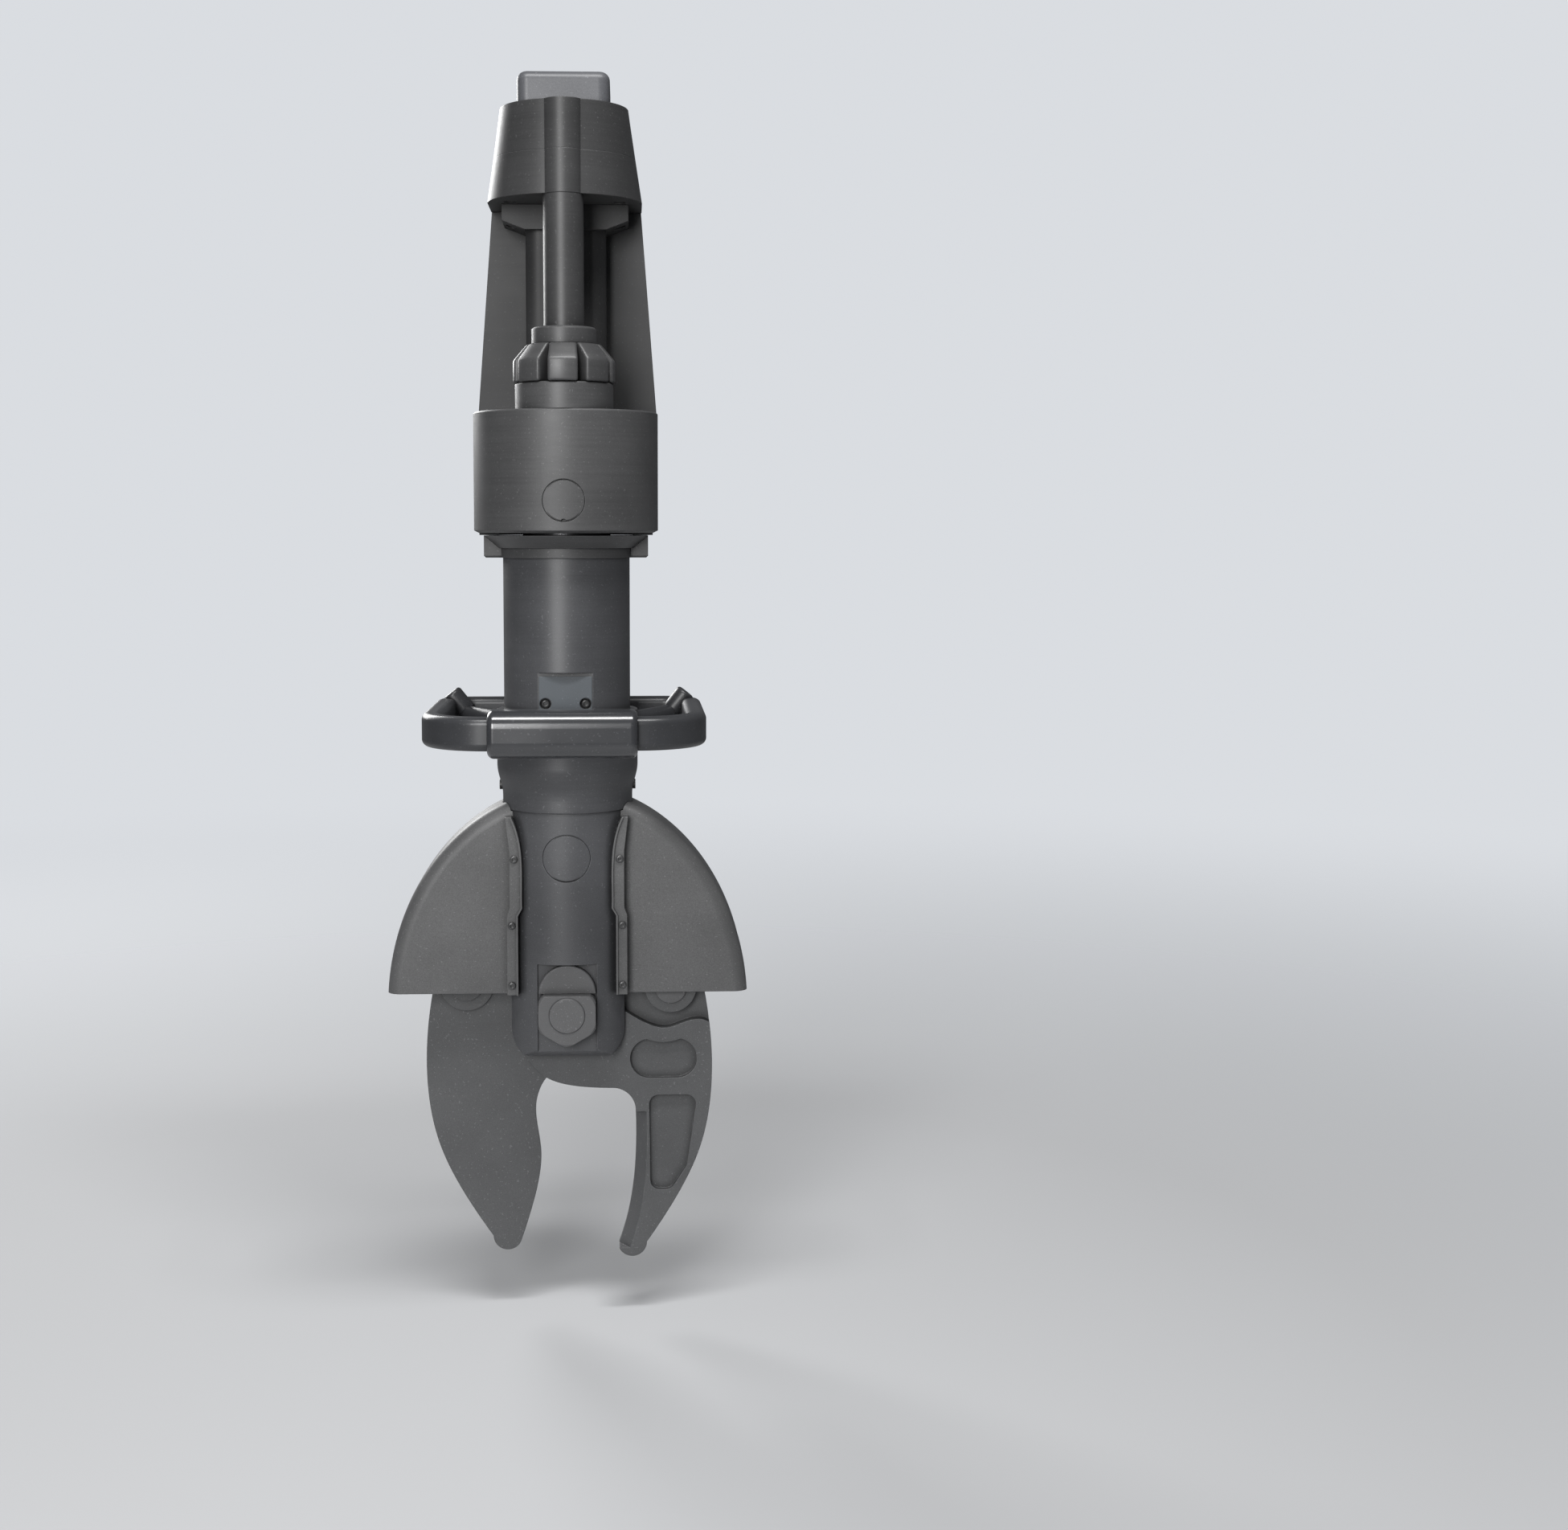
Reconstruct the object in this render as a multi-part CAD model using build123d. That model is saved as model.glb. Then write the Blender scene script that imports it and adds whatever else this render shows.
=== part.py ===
from build123d import *
import os
from math import atan2, cos, degrees, hypot, radians, sin

# Battery-powered hydraulic rescue cutter, in millimetres.
# Working frame: X to the user's right, Y from the front to the back, Z up, with the
# tool's long axis on X = Y = 0 and the blade pivot at Z = 0. The parts are saved
# relative to the middle of the rest face on the tool's back.

# ---- driving dimensions -------------------------------------------------------------

# fits and gaps
FIT = 0.1            # gap round a piece that is fixed in another
RUN = 0.05           # radial gap of a shaft or piston that moves
FREE = 0.3           # gap between moving faces that don't guide each other

# heights, from the blade pivot up
BARREL_BOTTOM = 162.0
BARREL_LENGTH = 204.0
FLANGE_HEIGHT = 18.0
HOUSING_HEIGHT = 99.0
RING_HEIGHT = 21.0
STAR_HEIGHT = 31.0
GRIP_COLLAR_HEIGHT = 13.0
GRIP_LENGTH = 104.0
LOWER_SHELL_HEIGHT = 34.0
UPPER_SHELL_HEIGHT = 39.0
BATTERY_SHOWN = 27.0

BARREL_TOP = BARREL_BOTTOM + BARREL_LENGTH
HOUSING_BOTTOM = BARREL_TOP + FLANGE_HEIGHT
HOUSING_TOP = HOUSING_BOTTOM + HOUSING_HEIGHT
RING_TOP = HOUSING_TOP + RING_HEIGHT
STAR_TOP = RING_TOP + STAR_HEIGHT
GRIP_BOTTOM = STAR_TOP + GRIP_COLLAR_HEIGHT
HEAD_BOTTOM = GRIP_BOTTOM + GRIP_LENGTH
HEAD_SEAM = HEAD_BOTTOM + LOWER_SHELL_HEIGHT
HEAD_TOP = HEAD_SEAM + UPPER_SHELL_HEIGHT
BATTERY_TOP = HEAD_TOP + BATTERY_SHOWN

# hydraulic cylinder, with its label plate
BARREL_RADIUS = 51.5
BORE_RADIUS = 36.0
ROD_RADIUS = 16.0
ROD_STUB_RADIUS = 9.6        # the rod's stub, fixed in the piston
PISTON_THICKNESS = 24.0
PISTON_HEIGHT = BARREL_TOP - 44.0    # centre of the piston with the blades as drawn
PISTON_BOTTOM = PISTON_HEIGHT - PISTON_THICKNESS / 2
PISTON_TOP = PISTON_HEIGHT + PISTON_THICKNESS / 2
SEAL_HEIGHT = 8.0
SEAL_DEPTH = 4.0
GLAND_HEIGHT = 28.0
SPIGOT_HEIGHT = 8.0
BELL_HEIGHT = 60.0
BELL_FLARE = 36.0            # height at which the bell is widest
BELL_RADIUS = BARREL_RADIUS + 6.0
BELL_NECK = BARREL_RADIUS + 1.5
COLLAR_SCREW_HEIGHT = 18.0
COLLAR_SCREW_PROUD = 1.2
HUB_RING_RADIUS = BARREL_RADIUS + 6.0
HUB_RING_HEIGHT = 20.0
HUB_RING_LOW = BARREL_BOTTOM + BELL_HEIGHT + FREE
HUB_RING_HIGH = HUB_RING_LOW + HUB_RING_HEIGHT
HUB_RING_Z = (HUB_RING_LOW + HUB_RING_HIGH) / 2 + 2
HUB_PAD_WIDTH = 40.0
LABEL_WIDTH = 44.0
LABEL_LOW = HUB_RING_HIGH + FREE
LABEL_HIGH = LABEL_LOW + 32.4
LABEL_FLAT = BARREL_RADIUS - 5.0     # distance of the label's flat from the tool axis
LABEL_SCREW_X = 16.0
LABEL_SCREW_SEAT = 3.0
LABEL_SCREW_Z = LABEL_LOW + 7.5
PLUG_GROOVE = 0.9            # width of the groove round a plug's face
PLUG_GROOVE_DEPTH = 1.5
PLUG_DEPTH = 12.0

# blades and linkage
BLADE_THICKNESS = 19.7
BLADE_FRONT = -FREE / 2 - BLADE_THICKNESS
PIVOT_RADIUS = 14.5
LINK_PIN_X = 84.0
LINK_PIN_Z = 14.0
LINK_RECESS = 10.0           # depth of the step in the blade that the link lies in
LINK_BACK = BLADE_FRONT + LINK_RECESS - FREE
POCKET_DEPTH = 5.0
BEVEL_WIDTH = 9.0
BEVEL_DEPTH = 14.0
BOSS_RADIUS = 22.0           # round boss on the blade's closed face, behind the link pin
BOSS_PROUD = 3.0
BOSS_STEP_RADIUS = 13.5
BOSS_STEP_PROUD = 1.5
LINK_EYE_RADIUS = 21.0
LINK_TOP_RADIUS = 14.5
LINK_HALF_WIDTH = 9.0
PIN_RADIUS = 6.0
PIN_HEAD_RADIUS = 12.8
PIN_HEAD_HEIGHT = 2.0
PIN_DIMPLE_RADIUS = 3.0
PIN_PLAY = 3.7               # play of the link's top eye on the crosshead pin
CROSSHEAD_PIN_X = 18.0
CROSSHEAD_PIN_Z = 90.0
CROSSHEAD_HALF_WIDTH = 31.0
CROSSHEAD_HALF_DEPTH = 20.0
CROSSHEAD_HEAD_HEIGHT = 12.0
CROSSHEAD_LUG_BELOW = 13.0
LUG_TOP = CROSSHEAD_PIN_Z + LINK_TOP_RADIUS + PIN_PLAY + FREE
CROSSHEAD_TOP = LUG_TOP + CROSSHEAD_HEAD_HEIGHT

# yoke
YOKE_RADIUS = BARREL_RADIUS + 0.5
YOKE_HALF_WIDTH = YOKE_RADIUS - 6.0
YOKE_BOTTOM = -40.0
YOKE_CORNER = 22.0
YOKE_NOSE = 28.0             # rounding of the arms' ends, front to back
WASHER_THICKNESS = 2.45
YOKE_SLOT = WASHER_THICKNESS + FIT - BLADE_FRONT   # half the width of the slot for the blades
YOKE_CROWN = 15.0
WASHER_RADIUS = PIVOT_RADIUS + 15.5
NUT_FLATS = 2 * PIVOT_RADIUS + 17.0
NUT_THICKNESS = 16.0
NUT_SEAT = YOKE_RADIUS - 8.0         # distance of the nut's seat from the tool axis
NUT_LOCK_HEIGHT = NUT_FLATS / 2 - 7.0    # height of the flat that the lock plate bears on
BOLT_SHOWN = 0.8
BOLT_HEAD_RADIUS = PIVOT_RADIUS + 7.5
BOLT_HEAD_HEIGHT = 13.0
BOLT_SOCKET = 9.0
LOCK_PLATE_RADIUS = NUT_FLATS / 2
LOCK_PLATE_THICKNESS = 6.0
YOKE_PLUG_RADIUS = 19.0
YOKE_PLUG_Z = BARREL_BOTTOM - 36.0

# guards
GUARD_WIDTH = 147.0
GUARD_HEIGHT = 178.0
GUARD_BOTTOM = 12.0
GUARD_DEPTH = YOKE_SLOT + 6.6        # half the depth of the guard
GUARD_WALL = 3.0
GUARD_ROUND = 11.0
STRIP_PROUD = 12.0           # how far the screw strip stands forward of the guard
STRIP_FRONT = -GUARD_DEPTH - STRIP_PROUD
STRIP_LIP = 1.6
GUARD_SCREWS = ((YOKE_HALF_WIDTH - 3.4, 124.0), (YOKE_HALF_WIDTH - 1.4, 70.0),
                (YOKE_HALF_WIDTH - 1.4, GUARD_BOTTOM + 9.0))
GUARD_SCREW_RADIUS = 1.9
GUARD_SCREW_HEAD = 3.1
GUARD_SCREW_PROUD = 1.8

# handle
SLEEVE_LENGTH = 114.0
SLEEVE_HEIGHT = 37.0
SLEEVE_DEPTH = 35.0
SLEEVE_ROUND = 13.0
HANDLE_Z = BARREL_BOTTOM + 72.0
HANDLE_HALF_WIDTH = 103.0
HANDLE_FRONT = -BARREL_RADIUS - 74.5
HANDLE_BACK = BARREL_RADIUS + 14.5
HANDLE_FRONT_CORNER = HANDLE_HALF_WIDTH - SLEEVE_LENGTH / 2
HANDLE_BACK_CORNER = 24.0
HANDLE_BAND = 26.0
HANDLE_THICKNESS = 16.0
HANDLE_EDGE = 5.5
HANDLE_SCREW_X = 12.0
STRUT_RADIUS = 7.0
STUD_RADIUS = 8.5
STUD_LENGTH = 20.0
STUD_ROUND = 3.0

# motor housing
HOUSING_RADIUS = 74.7
HOUSING_WALL = 4.0
HOUSING_CEILING = 5.0
HOUSING_CHAMFER = 8.0
HOUSING_CHAMFER_HEIGHT = 4.0
FLANGE_HALF_WIDTH = 66.5
FLANGE_BACK = 66.0
NOSE_HEIGHT = 10.0
HOUSING_PLUG_RADIUS = 16.5
HOUSING_PLUG_Z = HOUSING_BOTTOM + 27.5
MOTOR_Y = 14.0
MOTOR_RADIUS = 30.0
MOTOR_CASE = 4.0             # wall of the motor's case round the windings
MOTOR_HEADROOM = 14.0
MOTOR_CAP = 4.0
SHAFT_RADIUS = 5.0
BEARING_RADIUS = 8.0
PUMP_RADIUS = 36.0
PUMP_HEIGHT = 26.0
PUMP_TOP = HOUSING_BOTTOM + PUMP_HEIGHT
PLUNGER_RADIUS = 4.0
PLUNGER_CIRCLE = 16.0
PLUNGER_DEPTH = 20.0
PLUNGERS = 5
BLADDER_RADIUS = MOTOR_Y + PUMP_RADIUS + 4.4     # inside of the bladder
VALVE_TOP = HOUSING_TOP - HOUSING_CEILING - 6.0
VALVE_HEIGHT = 18.0
VALVE_HALF_WIDTH = 32.0
VALVE_BEHIND = 13.0          # how far the valve reaches behind the grip's axis
VALVE_POST_X = 27.0

# grip and control
RING_RADIUS = 39.0
GRIP_Y = RING_RADIUS + 0.7 - HOUSING_RADIUS
MOTOR_TOP = HOUSING_TOP - HOUSING_CEILING - MOTOR_HEADROOM
if GRIP_Y + VALVE_BEHIND > MOTOR_Y - MOTOR_RADIUS - MOTOR_CASE:
    MOTOR_TOP = VALVE_TOP - VALVE_HEIGHT - MOTOR_CAP     # the motor ends below the valve
GRIP_RADIUS = 16.0
CORE_RADIUS = 12.0
CORE_TOP = HEAD_BOTTOM + 28.0
GRIP_BORE = 8.0
COLLAR_RADIUS = 25.7
STAR_RADIUS = 40.5
STAR_LOBES = 8
STAR_NOTCH_DEPTH = 13.0
STAR_NOTCH_WIDTH = 7.6
STAR_SLOPE = (11.0, 13.0)
SPINDLE_RADIUS = 17.0
RING_POCKET_RADIUS = SPINDLE_RADIUS + 9.0
RING_POCKET_LOW = HOUSING_TOP + 2.0
RING_POCKET_HIGH = RING_TOP - 3.0
RETURN_SPRING_RADIUS = 21.5
RETURN_SPRING_WIRE = 1.4

# head, column and spine
BATTERY_WIDTH = 74.0
BATTERY_DEPTH = 78.0
BATTERY_ROUND = 9.0
BATTERY_EDGE = 7.0
BAY_GAP = 0.4
BAY_FLOOR = 12.0
BAY_LOW = HEAD_BOTTOM + BAY_FLOOR
BATTERY_Y = GRIP_Y + CORE_RADIUS + 4.0 + BATTERY_DEPTH / 2
CONTACT_HEIGHT = 6.0
CONTACT_TONGUE = 9.0
LATCH_WIDTH = 30.0
LATCH_FRONT = BATTERY_Y + BATTERY_DEPTH / 2 + 3.5
LATCH_BACK = LATCH_FRONT + 8.0
LATCH_Y = (LATCH_FRONT + LATCH_BACK) / 2
LATCH_LOW = HEAD_TOP - 14.0
LATCH_PROUD = 2.5
LATCH_TRAVEL = 3.0
LATCH_SPRING_LOW = LATCH_LOW - 14.0
LATCH_SPRING_RADIUS = 2.6
LATCH_SPRING_WIRE = 0.4
HEAD_BACK = LATCH_BACK + 3.5
HEAD_FRONT = GRIP_Y - 10.0
HEAD_SHOULDER = 10.0
HEAD_HALF_TOP = BATTERY_WIDTH / 2 + 14.5
HEAD_HALF_BOTTOM = HEAD_HALF_TOP + 11.0
HEAD_SCREW_X = BATTERY_WIDTH / 2 + 7.0
HEAD_SCREWS_FRONT = 5.0
HEAD_SCREWS_BACK = 36.0
HEAD_SCREW_REACH = 14.0
REST_Y = max(HEAD_BACK + 2.0, HOUSING_RADIUS + 1.3)    # the flat back of the spine
SPINE_FRONT = HOUSING_RADIUS - 14.7
SPINE_WALL = 4.0
SPINE_HALF_TOP = HEAD_HALF_BOTTOM - 0.5
COLUMN_HALF_WIDTH = 33.0
COLUMN_FRONT = 20.0
COLUMN_WALL = 4.0
COLUMN_INSIDE_LOW = HOUSING_TOP + 12.0
COLUMN_INSIDE_HIGH = HEAD_BOTTOM - 14.0
NECK_HEIGHT = 20.0
NECK_HALF_WIDTH = 51.5
SCREW_RADIUS = 3.0
SCREW_HEAD = 5.0
SCREW_HEAD_HEIGHT = 4.0
SCREW_SOCKET = 2.2
SPINE_SCREWS = ((42.0, HEAD_BOTTOM - 7.0), (-42.0, HEAD_BOTTOM - 7.0),
                (22.0, HOUSING_TOP + 6.0), (-22.0, HOUSING_TOP + 6.0))

THROUGH = 1000.0             # beyond every face, for cuts that pass right through
SIDES = (-1, 1)

# ---- helpers ------------------------------------------------------------------------

REST_Z = (HOUSING_TOP + HEAD_BOTTOM) / 2
TO_ORIGIN = Pos(0, -REST_Y, -REST_Z)


def save(name, *solids):
    """Write one sub-part, moved into the frame of the rest face."""
    parts = [TO_ORIGIN * solid for shape in solids for solid in shape.solids()]
    export_step(parts[0] if len(parts) == 1 else Compound(children=parts), f"parts/{name}.step")


def rod(radius, low, high, x=0.0, y=0.0):
    """An upright cylinder between two heights."""
    return Pos(x, y, (low + high) / 2) * Cylinder(radius, high - low)


def tube(outer, inner, low, high, x=0.0, y=0.0):
    return rod(outer, low, high, x, y) - rod(inner, low - 1, high + 1, x, y)


def pin(radius, front, back, x=0.0, z=0.0):
    """A cylinder along Y between two depths."""
    return Pos(x, (front + back) / 2, z) * Rot(90, 0, 0) * Cylinder(radius, back - front)


def block(x_low, x_high, y_low, y_high, z_low, z_high):
    size = Box(x_high - x_low, y_high - y_low, z_high - z_low)
    return Pos((x_low + x_high) / 2, (y_low + y_high) / 2, (z_low + z_high) / 2) * size


def slab(face, front, back):
    """Extrude a face drawn on the XZ plane between two depths."""
    return extrude(Pos(0, back, 0) * face, amount=back - front, dir=(0, -1, 0))


def drawn(*edges):
    """A face on the XZ plane from edges drawn in X and Z."""
    return Plane.XZ * make_face(list(edges))


def polygon(*points):
    return Plane.XZ * make_face(Polyline(*points, close=True))


def mirrored(shape):
    """The same shape on the other side of the tool's axis, left to right."""
    return mirror(shape, about=Plane.YZ)


def behind(shape):
    """The same shape at the back of the tool instead of the front."""
    return mirror(shape, about=Plane.XZ)


def spring(radius, wire, low, high, turns, x=0.0, y=0.0):
    """A coil spring standing between two heights."""
    coil_height = high - low - 2 * wire
    path = Helix(pitch=coil_height / turns, height=coil_height, radius=radius)
    section = Plane(origin=path @ 0, z_dir=path % 0) * Circle(wire)
    return Pos(x, y, low + wire) * sweep(section, path=path)


def grooved(plug, radius, front, z):
    """A plug with a narrow groove round its face."""
    ring = pin(radius + 1, -THROUGH, front + PLUG_GROOVE_DEPTH, 0, z)
    return plug - (ring - pin(radius - PLUG_GROOVE, -THROUGH, 0, 0, z))


# ---- blades -------------------------------------------------------------------------

def beyond_edge(points, shift, depth):
    """The region outside the cutting edge, moved into the blade by a shift."""
    edge = Spline([(x + shift, z) for x, z in points])
    end_x, end_z = points[-1]
    start_x, start_z = points[0]
    rest = Polyline((end_x + shift, end_z), (-40, end_z), (-40, start_z), (start_x + shift, start_z))
    return Pos(0, depth, 0) * drawn(edge, rest)


def blade(cutting_points, throat):
    """A blade in the front plane, on the right: hub, tail with the link pin, and claw.

    The cutting edge and the throat up to the hub are the sides that differ.
    """
    cutting = Spline(cutting_points)
    hub = ThreePointArc((-33.8, -12.3), (-12, 33.9), (9.3, 34.8))
    tail = Line((9.3, 34.8), (78, 38))
    boss = ThreePointArc((78, 38), (103, 31), (112.3, 8))
    outer = Spline((112.3, 8), (118, -54), (107.5, -122), (88, -163), (64, -200))
    tip = ThreePointArc((64, -200), (53, -212), (41, -205))
    body = slab(drawn(hub, tail, boss, outer, tip, cutting, *throat), BLADE_FRONT, -FREE / 2)

    # ground bevel on the open face, along the cutting edge
    shallow = beyond_edge(cutting_points, BEVEL_WIDTH, BLADE_FRONT)
    deep = beyond_edge(cutting_points, 0, BLADE_FRONT + BEVEL_DEPTH)
    body -= loft([shallow, deep], ruled=True)

    # the step that the link lies in
    wavy = Spline((44, -4), (62, -15), (80, -20), (96, -15), (107, -13), (122, -25))
    rest = Polyline((122, -25), (122, 60), (14, 60), (14, 30), (44, 12), (44, -4))
    body -= slab(drawn(wavy, rest), BLADE_FRONT - 1, BLADE_FRONT + LINK_RECESS)

    # lightening pockets in the open face
    kidney = Plane.XZ * (Pos(78, -45.5) * SlotOverall(55, 33) - Pos(78, 4) * Circle(36))
    wedge = polygon((66, -76), (106, -76), (97, -136), (84, -156), (67, -156))
    wedge = fillet(wedge.vertices(), 8)
    for pocket in (kidney, wedge):
        body -= slab(pocket, BLADE_FRONT - 1, BLADE_FRONT + POCKET_DEPTH)

    # the round boss that backs the link pin, on the closed face
    body += pin(BOSS_RADIUS, -FREE / 2, BOSS_PROUD, LINK_PIN_X, LINK_PIN_Z)
    body += pin(BOSS_STEP_RADIUS, BOSS_PROUD, BOSS_PROUD + BOSS_STEP_PROUD, LINK_PIN_X, LINK_PIN_Z)

    body -= pin(PIVOT_RADIUS + RUN, -THROUGH, THROUGH)
    return body - pin(PIN_RADIUS + FIT, -THROUGH, THROUGH, LINK_PIN_X, LINK_PIN_Z)


def blade_right():
    cutting = ((41, -205), (48.5, -180), (54.5, -138), (55, -90))
    corner = ThreePointArc((55, -90), (50.5, -76.5), (38, -70))
    root = Spline((38, -70), (6, -68), (-24, -56.5), (-36, -36), (-33.8, -12.3))
    return blade(cutting, (corner, root))


def blade_left():
    cutting = ((41, -205), (30, -170), (24, -128), (28, -96), (23, -72))
    root = Spline((23, -72), (8, -57), (-14, -46), (-31, -30), (-33.8, -12.3))
    return behind(mirrored(blade(cutting, (root,))))


def link():
    """The right-hand link, from the blade's tail up to the crosshead pin."""
    run_x = LINK_PIN_X - CROSSHEAD_PIN_X
    run_z = CROSSHEAD_PIN_Z - LINK_PIN_Z
    length = hypot(run_x, run_z)
    lean = degrees(atan2(run_z, -run_x))
    shank = Pos((LINK_PIN_X + CROSSHEAD_PIN_X) / 2, (LINK_PIN_Z + CROSSHEAD_PIN_Z) / 2)
    outline = shank * Rot(0, 0, lean) * Rectangle(length, 2 * LINK_HALF_WIDTH)
    outline += Pos(LINK_PIN_X, LINK_PIN_Z) * Circle(LINK_EYE_RADIUS)
    outline += Pos(CROSSHEAD_PIN_X, CROSSHEAD_PIN_Z) * Circle(LINK_TOP_RADIUS)
    outline -= Pos(LINK_PIN_X, LINK_PIN_Z) * Circle(PIN_RADIUS + RUN)
    outline -= Pos(CROSSHEAD_PIN_X, CROSSHEAD_PIN_Z) * Circle(PIN_RADIUS + PIN_PLAY)
    return slab(Plane.XZ * outline, BLADE_FRONT, LINK_BACK)


def link_pin():
    """The pin through a blade's tail and its link, with a flat head on the open side."""
    head_back = BLADE_FRONT - FREE
    head_front = head_back - PIN_HEAD_HEIGHT
    end = BOSS_PROUD + BOSS_STEP_PROUD
    shank = pin(PIN_RADIUS, head_back, end, LINK_PIN_X, LINK_PIN_Z)
    head = pin(PIN_HEAD_RADIUS, head_front, head_back, LINK_PIN_X, LINK_PIN_Z)
    body = shank + head
    for front, back in ((-THROUGH, head_front + 1), (end - 1, THROUGH)):
        body -= pin(PIN_DIMPLE_RADIUS, front, back, LINK_PIN_X, LINK_PIN_Z)
    return body


def crosshead():
    """The block on the rod's end: a lug between the links and a wide head on top."""
    half_lug = -LINK_BACK - FREE
    deep = CROSSHEAD_HALF_DEPTH
    wide = CROSSHEAD_HALF_WIDTH
    body = block(-wide, wide, -half_lug, half_lug, CROSSHEAD_PIN_Z - CROSSHEAD_LUG_BELOW, LUG_TOP)
    body += block(-wide, wide, -deep, deep, LUG_TOP, CROSSHEAD_TOP)
    for side in SIDES:
        body -= pin(PIN_RADIUS + FIT, -THROUGH, THROUGH, side * CROSSHEAD_PIN_X, CROSSHEAD_PIN_Z)
    return body


def crosshead_pin():
    head_back = BLADE_FRONT - FREE
    back = -LINK_BACK - FREE
    front = head_back - 0.8 * PIN_HEAD_HEIGHT
    shank = pin(PIN_RADIUS, head_back, back, CROSSHEAD_PIN_X, CROSSHEAD_PIN_Z)
    return shank + pin(LINK_TOP_RADIUS - 2, front, head_back, CROSSHEAD_PIN_X, CROSSHEAD_PIN_Z)


# ---- yoke and pivot -----------------------------------------------------------------

def yoke_envelope(gap):
    """The yoke's outside, grown by a gap."""
    sides = YOKE_HALF_WIDTH + gap
    column = rod(YOKE_RADIUS + gap, YOKE_BOTTOM - gap, BARREL_BOTTOM)
    return column & block(-sides, sides, -THROUGH, THROUGH, YOKE_BOTTOM - gap, BARREL_BOTTOM)


def yoke_body():
    """The fork below the cylinder: two round-backed arms joined by a crown."""
    body = yoke_envelope(0)
    corners = body.edges().filter_by(GeomType.LINE).filter_by(Axis.Y).group_by(Axis.Z)[0]
    body = fillet(corners, YOKE_CORNER)
    length = 2 * (BARREL_BOTTOM - YOKE_BOTTOM)
    depth = 2 * (YOKE_RADIUS + 1)
    nose = Plane.YZ * RectangleRounded(depth, length, YOKE_NOSE)
    body &= Pos(0, 0, BARREL_BOTTOM) * extrude(nose, amount=2 * YOKE_RADIUS, both=True)
    body -= block(-THROUGH, THROUGH, -YOKE_SLOT, YOKE_SLOT, YOKE_BOTTOM - 1, BARREL_BOTTOM - YOKE_CROWN)
    body -= rod(ROD_RADIUS + FREE, 0, THROUGH)
    body -= pin(PIVOT_RADIUS + FIT, -THROUGH, THROUGH)
    half = NUT_FLATS / 2 + 1
    lock_top = NUT_LOCK_HEIGHT + LOCK_PLATE_RADIUS + 0.5
    body -= block(-half, half, -THROUGH, -NUT_SEAT, -THROUGH, lock_top)
    body -= pin(BOLT_HEAD_RADIUS + 1, NUT_SEAT, THROUGH)
    body -= pin(YOKE_PLUG_RADIUS + FREE, -THROUGH, -YOKE_RADIUS + PLUG_DEPTH, 0, YOKE_PLUG_Z)
    for side in SIDES:
        for x, z in GUARD_SCREWS:
            body -= pin(GUARD_SCREW_RADIUS + FIT, -THROUGH, -YOKE_SLOT, side * x, z)
            body -= pin(GUARD_SCREW_RADIUS + FIT, YOKE_SLOT, THROUGH, side * x, z)
    return body


def yoke_plug():
    """The round plug in the front arm, curved like the arm."""
    plug = pin(YOKE_PLUG_RADIUS, -THROUGH, -YOKE_RADIUS + PLUG_DEPTH, 0, YOKE_PLUG_Z)
    plug &= rod(YOKE_RADIUS - 0.3, -THROUGH, THROUGH)
    return grooved(plug, YOKE_PLUG_RADIUS, -YOKE_RADIUS, YOKE_PLUG_Z)


def pivot_bolt():
    head_top = NUT_SEAT + BOLT_HEAD_HEIGHT
    shank = pin(PIVOT_RADIUS, -NUT_SEAT - NUT_THICKNESS - BOLT_SHOWN, NUT_SEAT)
    shank = chamfer(shank.edges().sort_by(Axis.Y)[0], BOLT_SHOWN)
    head = pin(BOLT_HEAD_RADIUS, NUT_SEAT, head_top)
    head = chamfer(head.edges().sort_by(Axis.Y)[-1], 2)
    socket = Pos(0, head_top + 1, 0) * Plane.XZ * RegularPolygon(BOLT_SOCKET, 6)
    return shank + head - extrude(socket, amount=BOLT_SOCKET, dir=(0, -1, 0))


def pivot_nut():
    """A hexagon nut with points up and down; the upper point is cut to a locking flat."""
    hexagon = Rot(0, 0, 90) * RegularPolygon(NUT_FLATS / 2, 6, major_radius=False)
    body = slab(Plane.XZ * hexagon, -NUT_SEAT - NUT_THICKNESS, -NUT_SEAT)
    round_edge = pin(NUT_FLATS / 2 + 2.4, -NUT_SEAT - NUT_THICKNESS, -NUT_SEAT)
    body &= chamfer(round_edge.edges().sort_by(Axis.Y)[0], 1.5)
    body &= block(-NUT_FLATS, NUT_FLATS, -THROUGH, 0, -NUT_FLATS, NUT_LOCK_HEIGHT - FIT)
    return body - pin(PIVOT_RADIUS + FIT, -THROUGH, 0)


def nut_lock_plate():
    """A half disc whose flat edge bears on the nut."""
    front = -NUT_SEAT - LOCK_PLATE_THICKNESS
    plate = pin(LOCK_PLATE_RADIUS, front, -NUT_SEAT, 0, NUT_LOCK_HEIGHT)
    plate &= block(-THROUGH, THROUGH, -THROUGH, 0, NUT_LOCK_HEIGHT, THROUGH)
    return chamfer(plate.faces().sort_by(Axis.Y)[0].edges().filter_by(GeomType.CIRCLE), 0.8)


def thrust_washer():
    return pin(WASHER_RADIUS, -YOKE_SLOT, BLADE_FRONT - FIT) - pin(PIVOT_RADIUS + FIT, -THROUGH, 0)


# ---- guards -------------------------------------------------------------------------

def dome(grow, depth, rounding, bottom):
    """A half ellipse drawn out front to back, with its curved edges rounded over."""
    half = Ellipse(GUARD_WIDTH - grow, GUARD_HEIGHT - grow)
    half &= Pos(0, THROUGH / 2 + bottom) * Rectangle(THROUGH, THROUGH)
    body = slab(Plane.XZ * half, -depth, depth)
    rims = body.edges().filter_by(GeomType.ELLIPSE)
    return fillet(rims, rounding)


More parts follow.
